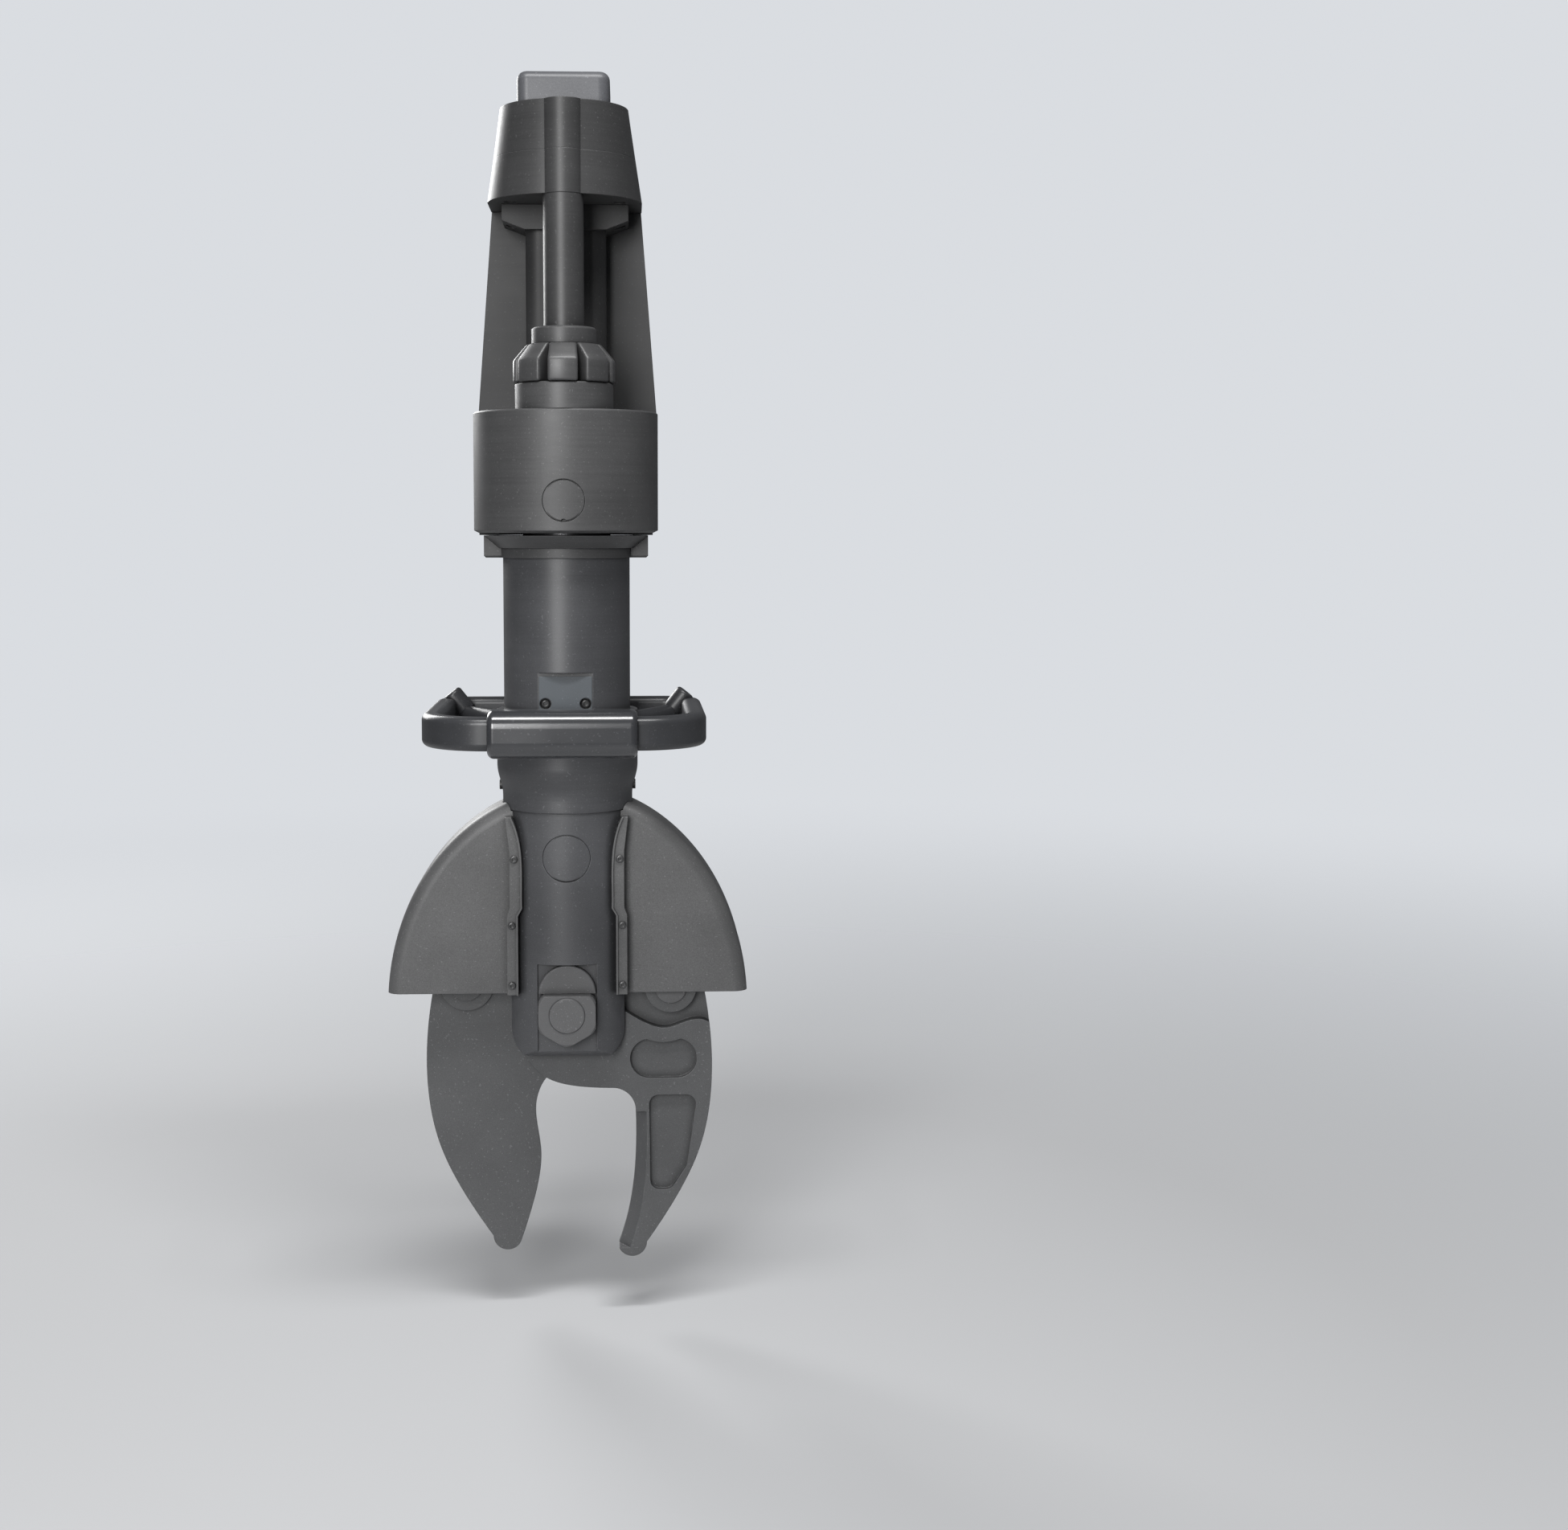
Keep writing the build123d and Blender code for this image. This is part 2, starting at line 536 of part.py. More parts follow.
def guard():
    """The right-hand guard: a hollow half dome, with its screw strips front and back."""
    shell = dome(0, GUARD_DEPTH, GUARD_ROUND, GUARD_BOTTOM)
    shell -= dome(GUARD_WALL, GUARD_DEPTH - GUARD_WALL, GUARD_ROUND - GUARD_WALL, GUARD_BOTTOM - 1)
    shell -= block(-THROUGH, YOKE_HALF_WIDTH - 8, -THROUGH, THROUGH, -THROUGH, THROUGH)

    # the screw strip, drawn from the yoke's side, with a lip along its inner edge
    side = YOKE_HALF_WIDTH
    foot = GUARD_BOTTOM + 1
    inner = Spline((side - 1.5, 158), (side - 8, 138), (side - 10, 112), (side - 10, 84))
    jog = Polyline((side - 10, 84), (side - 6.5, 78), (side - 6.5, foot), (side + 2.5, foot))
    outer = Polyline((side + 2.5, foot), (side + 2.5, 78), (side + 0.2, 84), (side + 0.2, 130),
                     (side + 3.5, 158), (side - 1.5, 158))
    outline = drawn(inner, jog, outer)
    strip = slab(outline, STRIP_FRONT, -GUARD_DEPTH + 1)
    lip = outline - Pos(STRIP_LIP, 0, 0) * outline
    lip &= Plane.XZ * (Pos(side - 8, 85) * Rectangle(16, 200))
    strip += slab(lip.faces().sort_by(SortBy.AREA)[-1], STRIP_FRONT - STRIP_LIP, STRIP_FRONT)
    shell += strip
    shell += behind(strip)
    shell -= yoke_envelope(FIT)
    shell -= rod(BELL_NECK + FREE, BARREL_BOTTOM - FREE, THROUGH)
    for x, z in GUARD_SCREWS:
        shell -= pin(GUARD_SCREW_RADIUS + FIT, -THROUGH, THROUGH, x, z)
    return shell


def guard_screws():
    """Button-head screws, three in each strip."""
    screws = []
    for x, z in GUARD_SCREWS:
        screw = pin(GUARD_SCREW_HEAD, STRIP_FRONT - GUARD_SCREW_PROUD, STRIP_FRONT, x, z)
        screw = fillet(screw.edges().sort_by(Axis.Y)[0], 1.2)
        screw += pin(GUARD_SCREW_RADIUS, STRIP_FRONT, -YOKE_SLOT - 1, x, z)
        front = (screw, mirrored(screw))
        screws += [*front, *(behind(one) for one in front)]
    return screws


# ---- hydraulic cylinder -------------------------------------------------------------

def cylinder_barrel():
    body = tube(BARREL_RADIUS, BORE_RADIUS, BARREL_BOTTOM, BARREL_TOP)
    half = LABEL_WIDTH / 2
    body -= block(-half, half, -THROUGH, -LABEL_FLAT, LABEL_LOW, LABEL_HIGH)
    for side in SIDES:
        body -= pin(4.4, -THROUGH, -LABEL_FLAT + LABEL_SCREW_SEAT, side * LABEL_SCREW_X, LABEL_SCREW_Z)
    return body


def label_plate():
    """A blank plate on the flat of the barrel, notched round its two screws."""
    half = LABEL_WIDTH / 2 - 0.8
    plate = block(-half, half, -LABEL_FLAT - 0.8, -LABEL_FLAT, LABEL_LOW + 0.8, LABEL_HIGH - 3)
    for side in SIDES:
        plate -= pin(4.8, -THROUGH, 0, side * LABEL_SCREW_X, LABEL_SCREW_Z)
    return plate


def label_screws():
    seat = -LABEL_FLAT + LABEL_SCREW_SEAT
    for side in SIDES:
        screw = pin(3.8, seat - 2.5, seat, side * LABEL_SCREW_X, LABEL_SCREW_Z)
        yield screw - pin(1.7, -THROUGH, seat - 1, side * LABEL_SCREW_X, LABEL_SCREW_Z)


def piston():
    body = tube(BORE_RADIUS - RUN, ROD_STUB_RADIUS, PISTON_BOTTOM, PISTON_TOP)
    groove = tube(BORE_RADIUS + 1, BORE_RADIUS - SEAL_DEPTH, PISTON_HEIGHT - SEAL_HEIGHT / 2,
                  PISTON_HEIGHT + SEAL_HEIGHT / 2)
    return body - groove


def piston_seal():
    half = SEAL_HEIGHT / 2 - FIT
    return tube(BORE_RADIUS - RUN / 2, BORE_RADIUS - SEAL_DEPTH + FIT, PISTON_HEIGHT - half,
                PISTON_HEIGHT + half)


def piston_rod():
    """The rod, with a stub that is fixed in the piston."""
    stub = rod(ROD_STUB_RADIUS - FIT, PISTON_BOTTOM, PISTON_TOP)
    return rod(ROD_RADIUS, CROSSHEAD_TOP, PISTON_BOTTOM) + stub


def rod_gland():
    top = BARREL_BOTTOM + GLAND_HEIGHT
    return tube(BORE_RADIUS - FIT, ROD_RADIUS + RUN, BARREL_BOTTOM, top)


def bell_collar():
    """The flared collar round the foot of the barrel."""
    inner = BARREL_RADIUS + FIT
    low = BARREL_BOTTOM
    high = BARREL_BOTTOM + BELL_HEIGHT
    widest = low + BELL_FLARE
    middle = (BELL_NECK + BELL_RADIUS) / 2
    flare = Spline((BELL_NECK, low + 10), (middle, low + 23), (BELL_RADIUS, widest), tangents=((0, 1), (0, 1)))
    sides = Polyline((BELL_RADIUS, widest), (BELL_RADIUS, high - 1.5), (BELL_RADIUS - 1.5, high), (inner, high),
                     (inner, low), (BELL_NECK - 0.6, low), (BELL_NECK, low + 0.6), (BELL_NECK, low + 10))
    body = revolve(Plane.XZ * make_face([flare, sides]), Axis.Z)
    return body - Pos(0, 0, low + COLLAR_SCREW_HEIGHT) * Rot(0, 90, 0) * Cylinder(4 + FREE, THROUGH)


def side_screw(side):
    """A screw through the collar's flank."""
    length = BELL_RADIUS - BARREL_RADIUS - FIT + COLLAR_SCREW_PROUD - 3
    centre = Pos(side * (BARREL_RADIUS + FIT + length / 2), 0, BARREL_BOTTOM + COLLAR_SCREW_HEIGHT)
    head = centre * Rot(0, 90, 0) * Cylinder(4, length)
    return head - rod(BARREL_RADIUS + FIT, 0, THROUGH)


# ---- carrying handle ----------------------------------------------------------------

def handle_outline(offset_by):
    """The handle's plan, grown or shrunk from its centre line."""
    wide = HANDLE_HALF_WIDTH + offset_by
    front = HANDLE_FRONT - offset_by
    back = HANDLE_BACK + offset_by
    face = make_face(Polyline((-wide, front), (wide, front), (wide, back), (-wide, back), close=True))
    face = fillet(face.vertices().group_by(Axis.Y)[0], HANDLE_FRONT_CORNER + offset_by)
    return fillet(face.vertices().group_by(Axis.Y)[-1], HANDLE_BACK_CORNER + offset_by)


def handle_ring():
    low = HANDLE_Z - HANDLE_BAND / 2
    half = HANDLE_THICKNESS / 2
    outline = handle_outline(half) - handle_outline(-half)
    band = extrude(Pos(0, 0, low) * outline, amount=HANDLE_BAND)
    rims = band.faces().sort_by(Axis.Z)[0].edges() + band.faces().sort_by(Axis.Z)[-1].edges()
    band = fillet(rims, HANDLE_EDGE)
    for side in SIDES:
        x = side * HANDLE_SCREW_X
        band -= pin(SCREW_RADIUS + FIT, 0, THROUGH, x, HUB_RING_Z)
        band -= pin(SCREW_HEAD + FIT, HANDLE_BACK + half - SCREW_HEAD_HEIGHT, THROUGH, x, HUB_RING_Z)
    return band


def handle_hub():
    """The clamp round the barrel, with a pad at the back that the handle is screwed to."""
    pad_back = HANDLE_BACK - HANDLE_THICKNESS / 2
    body = rod(HUB_RING_RADIUS, HUB_RING_LOW, HUB_RING_HIGH)
    half = HUB_PAD_WIDTH / 2
    body += block(-half, half, BARREL_RADIUS - 12, pad_back, HUB_RING_LOW + 2, HUB_RING_HIGH)
    body -= rod(BARREL_RADIUS + FIT, 0, THROUGH)
    for side in SIDES:
        body -= pin(SCREW_RADIUS, BARREL_RADIUS - 1, THROUGH, side * HANDLE_SCREW_X, HUB_RING_Z)
    return body


def handle_screws():
    back = HANDLE_BACK + HANDLE_THICKNESS / 2
    seat = back - SCREW_HEAD_HEIGHT
    for side in SIDES:
        x = side * HANDLE_SCREW_X
        screw = pin(SCREW_HEAD, seat, back - 0.5, x, HUB_RING_Z)
        screw += pin(SCREW_RADIUS - FIT, BARREL_RADIUS + 0.7, seat, x, HUB_RING_Z)
        yield screw - pin(SCREW_SOCKET, seat + 1, THROUGH, x, HUB_RING_Z)


def front_grip():
    """The thick rubber sleeve on the handle's front bar."""
    profile = Plane.YZ * RectangleRounded(SLEEVE_DEPTH, SLEEVE_HEIGHT, SLEEVE_ROUND)
    body = extrude(profile, amount=SLEEVE_LENGTH / 2, both=True)
    ends = body.faces().sort_by(Axis.X)
    body = fillet(ends[0].edges() + ends[-1].edges(), 5)
    core = Plane.YZ * RectangleRounded(HANDLE_THICKNESS + 2 * FIT, HANDLE_BAND + 2 * FIT, HANDLE_EDGE - FIT)
    body -= extrude(core, amount=SLEEVE_LENGTH, both=True)
    return Pos(0, HANDLE_FRONT, HANDLE_Z) * body


def handle_strut():
    """A round strut from the clamp out to the handle's back corner, on the right."""
    start = Vector(HUB_RING_RADIUS - 11.5, 0, HANDLE_Z - 2)
    end = Vector(HANDLE_HALF_WIDTH - 13, HANDLE_BACK - 8, HANDLE_Z)
    along = end - start
    body = extrude(Plane(origin=start, z_dir=along) * Circle(STRUT_RADIUS), amount=along.length)
    body -= rod(HUB_RING_RADIUS, 0, THROUGH)
    return (body - handle_ring() - strap_stud()).solids().sort_by(SortBy.VOLUME)[-1]


def strap_stud():
    """A stub on the handle's back corner for a carrying strap, on the right."""
    base = Vector(HANDLE_HALF_WIDTH - 16, HANDLE_BACK - 11, HANDLE_Z + 2)
    lean = Vector(0.62, 0.0, 0.78)
    body = extrude(Plane(origin=base, z_dir=lean) * Circle(STUD_RADIUS), amount=STUD_LENGTH)
    body = fillet(body.edges().sort_by(Axis.Z)[-1], STUD_ROUND)
    return (body - handle_ring()).solids().sort_by(Axis.Z)[-1]


# ---- motor housing ------------------------------------------------------------------

def housing_flange():
    """The plate between the motor housing and the barrel, with a chamfered nose in front."""
    wide = FLANGE_HALF_WIDTH
    back = FLANGE_BACK
    plan = make_face(Polyline((-wide, -8), (wide, -8), (wide, back), (-wide, back), close=True))
    plan = fillet(plan.vertices().group_by(Axis.Y)[-1], 28)
    body = extrude(Pos(0, 0, BARREL_TOP) * plan, amount=FLANGE_HEIGHT)
    under = body.faces().sort_by(Axis.Z)[0].edges()
    body = chamfer(under, 1.5)
    neck = BARREL_RADIUS + 1.5
    body += rod(neck, BARREL_TOP, HOUSING_BOTTOM)
    nose = Cone(neck + 2, HOUSING_RADIUS - HOUSING_CHAMFER, NOSE_HEIGHT)
    nose = Pos(0, 0, HOUSING_BOTTOM - NOSE_HEIGHT / 2) * nose
    body += nose & block(-THROUGH, THROUGH, -THROUGH, -8, 0, THROUGH)
    body += rod(BORE_RADIUS - FIT, BARREL_TOP - SPIGOT_HEIGHT, BARREL_TOP)
    return body - rod(3, 0, THROUGH, 0, MOTOR_Y)


def motor_housing():
    inner = HOUSING_RADIUS - HOUSING_WALL
    body = rod(HOUSING_RADIUS, HOUSING_BOTTOM, HOUSING_TOP)
    round_side = body.faces().filter_by(GeomType.CYLINDER)[0]
    foot = body.edges().sort_by(Axis.Z)[0]
    body = chamfer(foot, HOUSING_CHAMFER_HEIGHT, HOUSING_CHAMFER, reference=round_side)
    body = chamfer(body.edges().sort_by(Axis.Z)[-1], 1.2)
    body -= rod(inner, HOUSING_BOTTOM - 1, HOUSING_TOP - HOUSING_CEILING)
    body -= rod(SPINDLE_RADIUS + FREE, 0, THROUGH, 0, GRIP_Y)
    body -= pin(HOUSING_PLUG_RADIUS + FREE, -THROUGH, 0, 0, HOUSING_PLUG_Z)
    return body


def housing_plug():
    """The round filler plug, curved like the housing, with a small key slot below."""
    back = -HOUSING_RADIUS + PLUG_DEPTH
    outer = pin(HOUSING_PLUG_RADIUS, -THROUGH, back, 0, HOUSING_PLUG_Z)
    outer &= rod(HOUSING_RADIUS - 0.3, 0, THROUGH)
    outer = grooved(outer, HOUSING_PLUG_RADIUS, -HOUSING_RADIUS, HOUSING_PLUG_Z)
    outer -= pin(SCREW_SOCKET, -THROUGH, -HOUSING_RADIUS + 3, 0, HOUSING_PLUG_Z - HOUSING_PLUG_RADIUS)
    return outer + pin(HOUSING_PLUG_RADIUS + 3, back, back + 2, 0, HOUSING_PLUG_Z)


def motor_stator():
    """The motor's case and windings, standing on the pump."""
    outer = MOTOR_RADIUS + MOTOR_CASE
    cap_low = MOTOR_TOP - MOTOR_CAP
    body = tube(outer, MOTOR_RADIUS - 6, PUMP_TOP, cap_low, 0, MOTOR_Y)
    return body + tube(outer, BEARING_RADIUS + FIT, cap_low, MOTOR_TOP, 0, MOTOR_Y)


def motor_rotor():
    core = rod(MOTOR_RADIUS - 6.5, PUMP_TOP + 16, MOTOR_TOP - 2 * MOTOR_CAP, 0, MOTOR_Y)
    return core + rod(SHAFT_RADIUS, PUMP_TOP - 14, MOTOR_TOP + 2, 0, MOTOR_Y)


def motor_bearings():
    for low in (PUMP_TOP - 6, MOTOR_TOP - MOTOR_CAP):
        yield tube(BEARING_RADIUS, SHAFT_RADIUS + RUN, low, low + MOTOR_CAP, 0, MOTOR_Y)


def wobble_plate():
    """The slanted disc on the motor shaft that drives the plungers."""
    middle = PUMP_TOP + 7
    disc_body = rod(PLUNGER_CIRCLE + 5, PUMP_TOP + 1, PUMP_TOP + 12, 0, MOTOR_Y)
    slope = Pos(0, MOTOR_Y, middle - 20) * Rot(0, 6, 0) * Box(120, 120, 38)
    disc_body -= slope
    return disc_body - rod(SHAFT_RADIUS + FIT, 0, THROUGH, 0, MOTOR_Y)


def plunger_places():
    for step in range(PLUNGERS):
        turn = radians(360 / PLUNGERS * step + 90)
        yield PLUNGER_CIRCLE * cos(turn), MOTOR_Y + PLUNGER_CIRCLE * sin(turn)


def pump_block():
    body = rod(PUMP_RADIUS, HOUSING_BOTTOM, PUMP_TOP, 0, MOTOR_Y)
    body -= rod(SHAFT_RADIUS + 1, PUMP_TOP - 15, PUMP_TOP + 1, 0, MOTOR_Y)
    body -= rod(BEARING_RADIUS + FIT, PUMP_TOP - 6, PUMP_TOP + 1, 0, MOTOR_Y)
    for x, y in plunger_places():
        body -= rod(PLUNGER_RADIUS + RUN, PUMP_TOP - PLUNGER_DEPTH, PUMP_TOP + 1, x, y)
    return body


def pump_plungers():
    for x, y in plunger_places():
        yield rod(PLUNGER_RADIUS, PUMP_TOP - PLUNGER_DEPTH, PUMP_TOP + 3, x, y)


def oil_bladder():
    """The rubber oil bladder that wraps round the back of the motor."""
    outer = HOUSING_RADIUS - HOUSING_WALL - FREE
    ring = tube(outer, BLADDER_RADIUS, HOUSING_BOTTOM + FREE, HOUSING_TOP - HOUSING_CEILING - 9)
    return ring & block(-THROUGH, THROUGH, -5, THROUGH, 0, THROUGH)


def valve_body():
    """The valve under the housing's top, which also carries the foot of the grip core."""
    low = VALVE_TOP - VALVE_HEIGHT
    half = VALVE_HALF_WIDTH
    body = block(-half, half, GRIP_Y - 22, GRIP_Y + VALVE_BEHIND, low, VALVE_TOP)
    for side in SIDES:
        body += rod(5, VALVE_TOP, HOUSING_TOP - HOUSING_CEILING, side * VALVE_POST_X, GRIP_Y)
    return body - rod(CORE_RADIUS + FIT, low + 6, THROUGH, 0, GRIP_Y)


# ---- star grip ----------------------------------------------------------------------

def star_base_ring():
    body = rod(RING_RADIUS, HOUSING_TOP, RING_TOP, 0, GRIP_Y)
    body = chamfer(body.edges().sort_by(Axis.Z)[-1], 1)
    body -= rod(RING_POCKET_RADIUS, RING_POCKET_LOW, RING_POCKET_HIGH, 0, GRIP_Y)
    return body - rod(SPINDLE_RADIUS + FREE, 0, THROUGH, 0, GRIP_Y)


def star_grip():
    """The control ring: eight broad lobes parted by narrow grooves, sloped on top."""
    low = RING_TOP + FREE
    high = STAR_TOP - FREE
    body = rod(STAR_RADIUS, low, high)
    top = body.faces().sort_by(Axis.Z)[-1]
    body = chamfer(body.edges().sort_by(Axis.Z)[-1], *STAR_SLOPE, reference=top)
    outside = STAR_RADIUS + 1
    half = STAR_NOTCH_WIDTH / 2
    notch = Polyline((STAR_RADIUS - STAR_NOTCH_DEPTH, 0), (outside, -half), (outside, half), close=True)
    for lobe in range(STAR_LOBES):
        turn = Rot(0, 0, 360 / STAR_LOBES * (lobe + 0.5))
        body -= extrude(Pos(0, 0, low - 1) * turn * make_face(notch), amount=STAR_HEIGHT + 2)
    upright = body.edges().filter_by(Axis.Z)
    lobe_corners = upright.filter_by(lambda edge: hypot(edge.center().X, edge.center().Y) > STAR_RADIUS - 2)
    body = fillet(lobe_corners, 3)
    return Pos(0, GRIP_Y, 0) * body - rod(CORE_RADIUS + FREE, 0, THROUGH, 0, GRIP_Y)


def control_spindle():
    return tube(SPINDLE_RADIUS, CORE_RADIUS + FREE, VALVE_TOP + FREE, RING_TOP + FREE, 0, GRIP_Y)


def return_spring():
    """The coil that brings the control ring back to its middle."""
    return spring(RETURN_SPRING_RADIUS, RETURN_SPRING_WIRE, RING_POCKET_LOW, RING_POCKET_HIGH, 4, 0, GRIP_Y)


def grip_collar():
    body = rod(COLLAR_RADIUS, STAR_TOP, GRIP_BOTTOM, 0, GRIP_Y)
    body = chamfer(body.edges().sort_by(Axis.Z)[-1], 1.5)
    return body - rod(CORE_RADIUS + FIT, 0, THROUGH, 0, GRIP_Y)


def grip_tube():
    """The grip, with a thin core that reaches down to the valve and up into the head."""
    body = rod(GRIP_RADIUS, GRIP_BOTTOM, HEAD_BOTTOM, 0, GRIP_Y)
    body += rod(CORE_RADIUS, VALVE_TOP - VALVE_HEIGHT + 6, CORE_TOP, 0, GRIP_Y)
    return body - rod(GRIP_BORE, 0, THROUGH, 0, GRIP_Y)


# ---- column and spine ---------------------------------------------------------------

def rear_column():
    """The column behind the grip, with a wide neck under the head; open at the back."""
    half = COLUMN_HALF_WIDTH
    body = block(-half, half, COLUMN_FRONT, SPINE_FRONT, HOUSING_TOP, HEAD_BOTTOM)
    body = fillet(body.edges().filter_by(Axis.Z).group_by(Axis.Y)[0], 12)
    wide = NECK_HALF_WIDTH
    low = HEAD_BOTTOM - NECK_HEIGHT
    neck = polygon((-wide, HEAD_BOTTOM), (wide, HEAD_BOTTOM), (wide, low + 7), (half, low),
                   (-half, low), (-wide, low + 7))
    body += slab(neck, COLUMN_FRONT - 5, SPINE_FRONT)
    inside = half - COLUMN_WALL
    body -= block(-inside, inside, COLUMN_FRONT + COLUMN_WALL, THROUGH, COLUMN_INSIDE_LOW, COLUMN_INSIDE_HIGH)
    for x, z in SPINE_SCREWS:
        body -= pin(SCREW_RADIUS - FIT, SPINE_FRONT - 12, THROUGH, x, z)
    for side in SIDES:
        x = side * HEAD_SCREW_X
        body -= rod(SCREW_RADIUS + FIT, 0, THROUGH, x, HEAD_SCREWS_BACK)
        body -= rod(SCREW_HEAD + FIT, 0, HEAD_BOTTOM - 8, x, HEAD_SCREWS_BACK)
    return body


def rear_spine():
    """The flared back cover, whose flat back is the tool's rest face."""
    top = SPINE_HALF_TOP
    foot = HOUSING_RADIUS
    outline = polygon((-foot, HOUSING_TOP), (foot, HOUSING_TOP), (top, HEAD_BOTTOM), (-top, HEAD_BOTTOM))
    body = slab(outline, SPINE_FRONT, REST_Y)
    sides = body.edges().group_by(Axis.Y)[-1].filter_by(lambda e: abs(e.center().X) > 10)
    body = fillet(sides, 8)
    inside = COLUMN_HALF_WIDTH - COLUMN_WALL
    body -= block(-inside, inside, 0, REST_Y - SPINE_WALL, COLUMN_INSIDE_LOW, COLUMN_INSIDE_HIGH)
    for x, z in SPINE_SCREWS:
        body -= pin(SCREW_RADIUS + FIT, 0, THROUGH, x, z)
        body -= pin(SCREW_HEAD + FIT, REST_Y - SCREW_HEAD_HEIGHT - 1, THROUGH, x, z)
    return body


def spine_screws():
    for x, z in SPINE_SCREWS:
        seat = REST_Y - SCREW_HEAD_HEIGHT - 1
        screw = pin(SCREW_HEAD, seat, REST_Y - 1, x, z)
        screw += pin(SCREW_RADIUS - 2 * FIT, SPINE_FRONT - 12, seat, x, z)
        yield screw - pin(SCREW_SOCKET, seat + 2, THROUGH, x, z)


def control_board():
    """The circuit board that stands in the column, held in its side walls."""
    half = COLUMN_HALF_WIDTH - COLUMN_WALL - FIT
    board = block(-half, half, 40, 41.6, HOUSING_TOP + 20, HEAD_BOTTOM - 24)
    for step in range(4):
        board += block(-16, 16, 34, 40, HOUSING_TOP + 34 + 26 * step, HOUSING_TOP + 50 + 26 * step)
    return board


# ---- head and battery ---------------------------------------------------------------

def head_section(half, height):
    """The head's plan at one height: a round front and a flat back."""
    nose = ThreePointArc((-half, HEAD_SHOULDER), (0, HEAD_FRONT), (half, HEAD_SHOULDER))
    back = Polyline((half, HEAD_SHOULDER), (half, HEAD_BACK), (-half, HEAD_BACK), (-half, HEAD_SHOULDER))
    face = make_face([nose, back])
    return Pos(0, 0, height) * fillet(face.vertices().group_by(Axis.Y)[-1], 16)


def head_body():
    """Both shells as one: the flared case, the rib over the grip, the bay and the holes."""
    low = head_section(HEAD_HALF_BOTTOM, HEAD_BOTTOM)
    high = head_section(HEAD_HALF_TOP, HEAD_TOP)
    body = loft([low, high])
    body += rod(GRIP_RADIUS + FREE, HEAD_BOTTOM, HEAD_TOP, 0, GRIP_Y)
    bay = RectangleRounded(BATTERY_WIDTH + 2 * BAY_GAP, BATTERY_DEPTH + 2 * BAY_GAP, BATTERY_ROUND)
    body -= extrude(Pos(0, BATTERY_Y, BAY_LOW) * bay, amount=THROUGH)
    body -= rod(CORE_RADIUS + FIT, 0, CORE_TOP + FREE, 0, GRIP_Y)
    half = LATCH_WIDTH / 2 + FREE
    body -= block(-half, half, LATCH_FRONT - FREE, LATCH_BACK + FREE, LATCH_LOW - LATCH_TRAVEL, THROUGH)
    spring_hole = LATCH_SPRING_RADIUS + LATCH_SPRING_WIRE + BAY_GAP
    body -= rod(spring_hole, LATCH_SPRING_LOW, LATCH_LOW, 0, LATCH_Y)
    for side in SIDES:
        x = side * HEAD_SCREW_X
        for y in (HEAD_SCREWS_FRONT, HEAD_SCREWS_BACK):
            body -= rod(SCREW_RADIUS + FIT, 0, HEAD_SEAM + HEAD_SCREW_REACH, x, y)
        body -= rod(SCREW_HEAD + FIT, 0, HEAD_BOTTOM + 5, x, HEAD_SCREWS_FRONT)
    return body


def head_screws():
    for side in SIDES:
        for y, seat in ((HEAD_SCREWS_FRONT, HEAD_BOTTOM + 5), (HEAD_SCREWS_BACK, HEAD_BOTTOM - 8)):
            x = side * HEAD_SCREW_X
            screw = rod(SCREW_HEAD, seat - SCREW_HEAD_HEIGHT, seat, x, y)
            screw += rod(SCREW_RADIUS, seat, HEAD_SEAM + HEAD_SCREW_REACH, x, y)
            yield screw - rod(SCREW_SOCKET, 0, seat - 2, x, y)


def battery_contacts():
    """The terminal block on the bay's floor, with three upright tongues."""
    base = block(-20, 20, BATTERY_Y - 8, BATTERY_Y + 8, BAY_LOW, BAY_LOW + CONTACT_HEIGHT)
    for x in (-12, 0, 12):
        tongue_top = BAY_LOW + CONTACT_HEIGHT + CONTACT_TONGUE
        base += block(x - 0.6, x + 0.6, BATTERY_Y - 6, BATTERY_Y + 6, BAY_LOW + 4, tongue_top)
    return base


def battery_pack():
    """The battery: a rounded block with a hollow below for the terminals."""
    low = BAY_LOW + FREE
    plan = RectangleRounded(BATTERY_WIDTH, BATTERY_DEPTH, BATTERY_ROUND)
    body = extrude(Pos(0, BATTERY_Y, low) * plan, amount=BATTERY_TOP - low)
    body = fillet(body.faces().sort_by(Axis.Z)[-1].edges(), BATTERY_EDGE)
    hollow_top = low + CONTACT_HEIGHT + CONTACT_TONGUE + 1
    return body - block(-22, 22, BATTERY_Y - 10, BATTERY_Y + 10, low - 1, hollow_top)


def battery_latch():
    half = LATCH_WIDTH / 2
    body = block(-half, half, LATCH_FRONT, LATCH_BACK, LATCH_LOW, HEAD_TOP + LATCH_PROUD)
    return fillet(body.faces().sort_by(Axis.Z)[-1].edges(), 1)


def latch_spring():
    return spring(LATCH_SPRING_RADIUS, LATCH_SPRING_WIRE, LATCH_SPRING_LOW, LATCH_LOW, 6, 0, LATCH_Y)


# ---- writing the sub-parts ----------------------------------------------------------

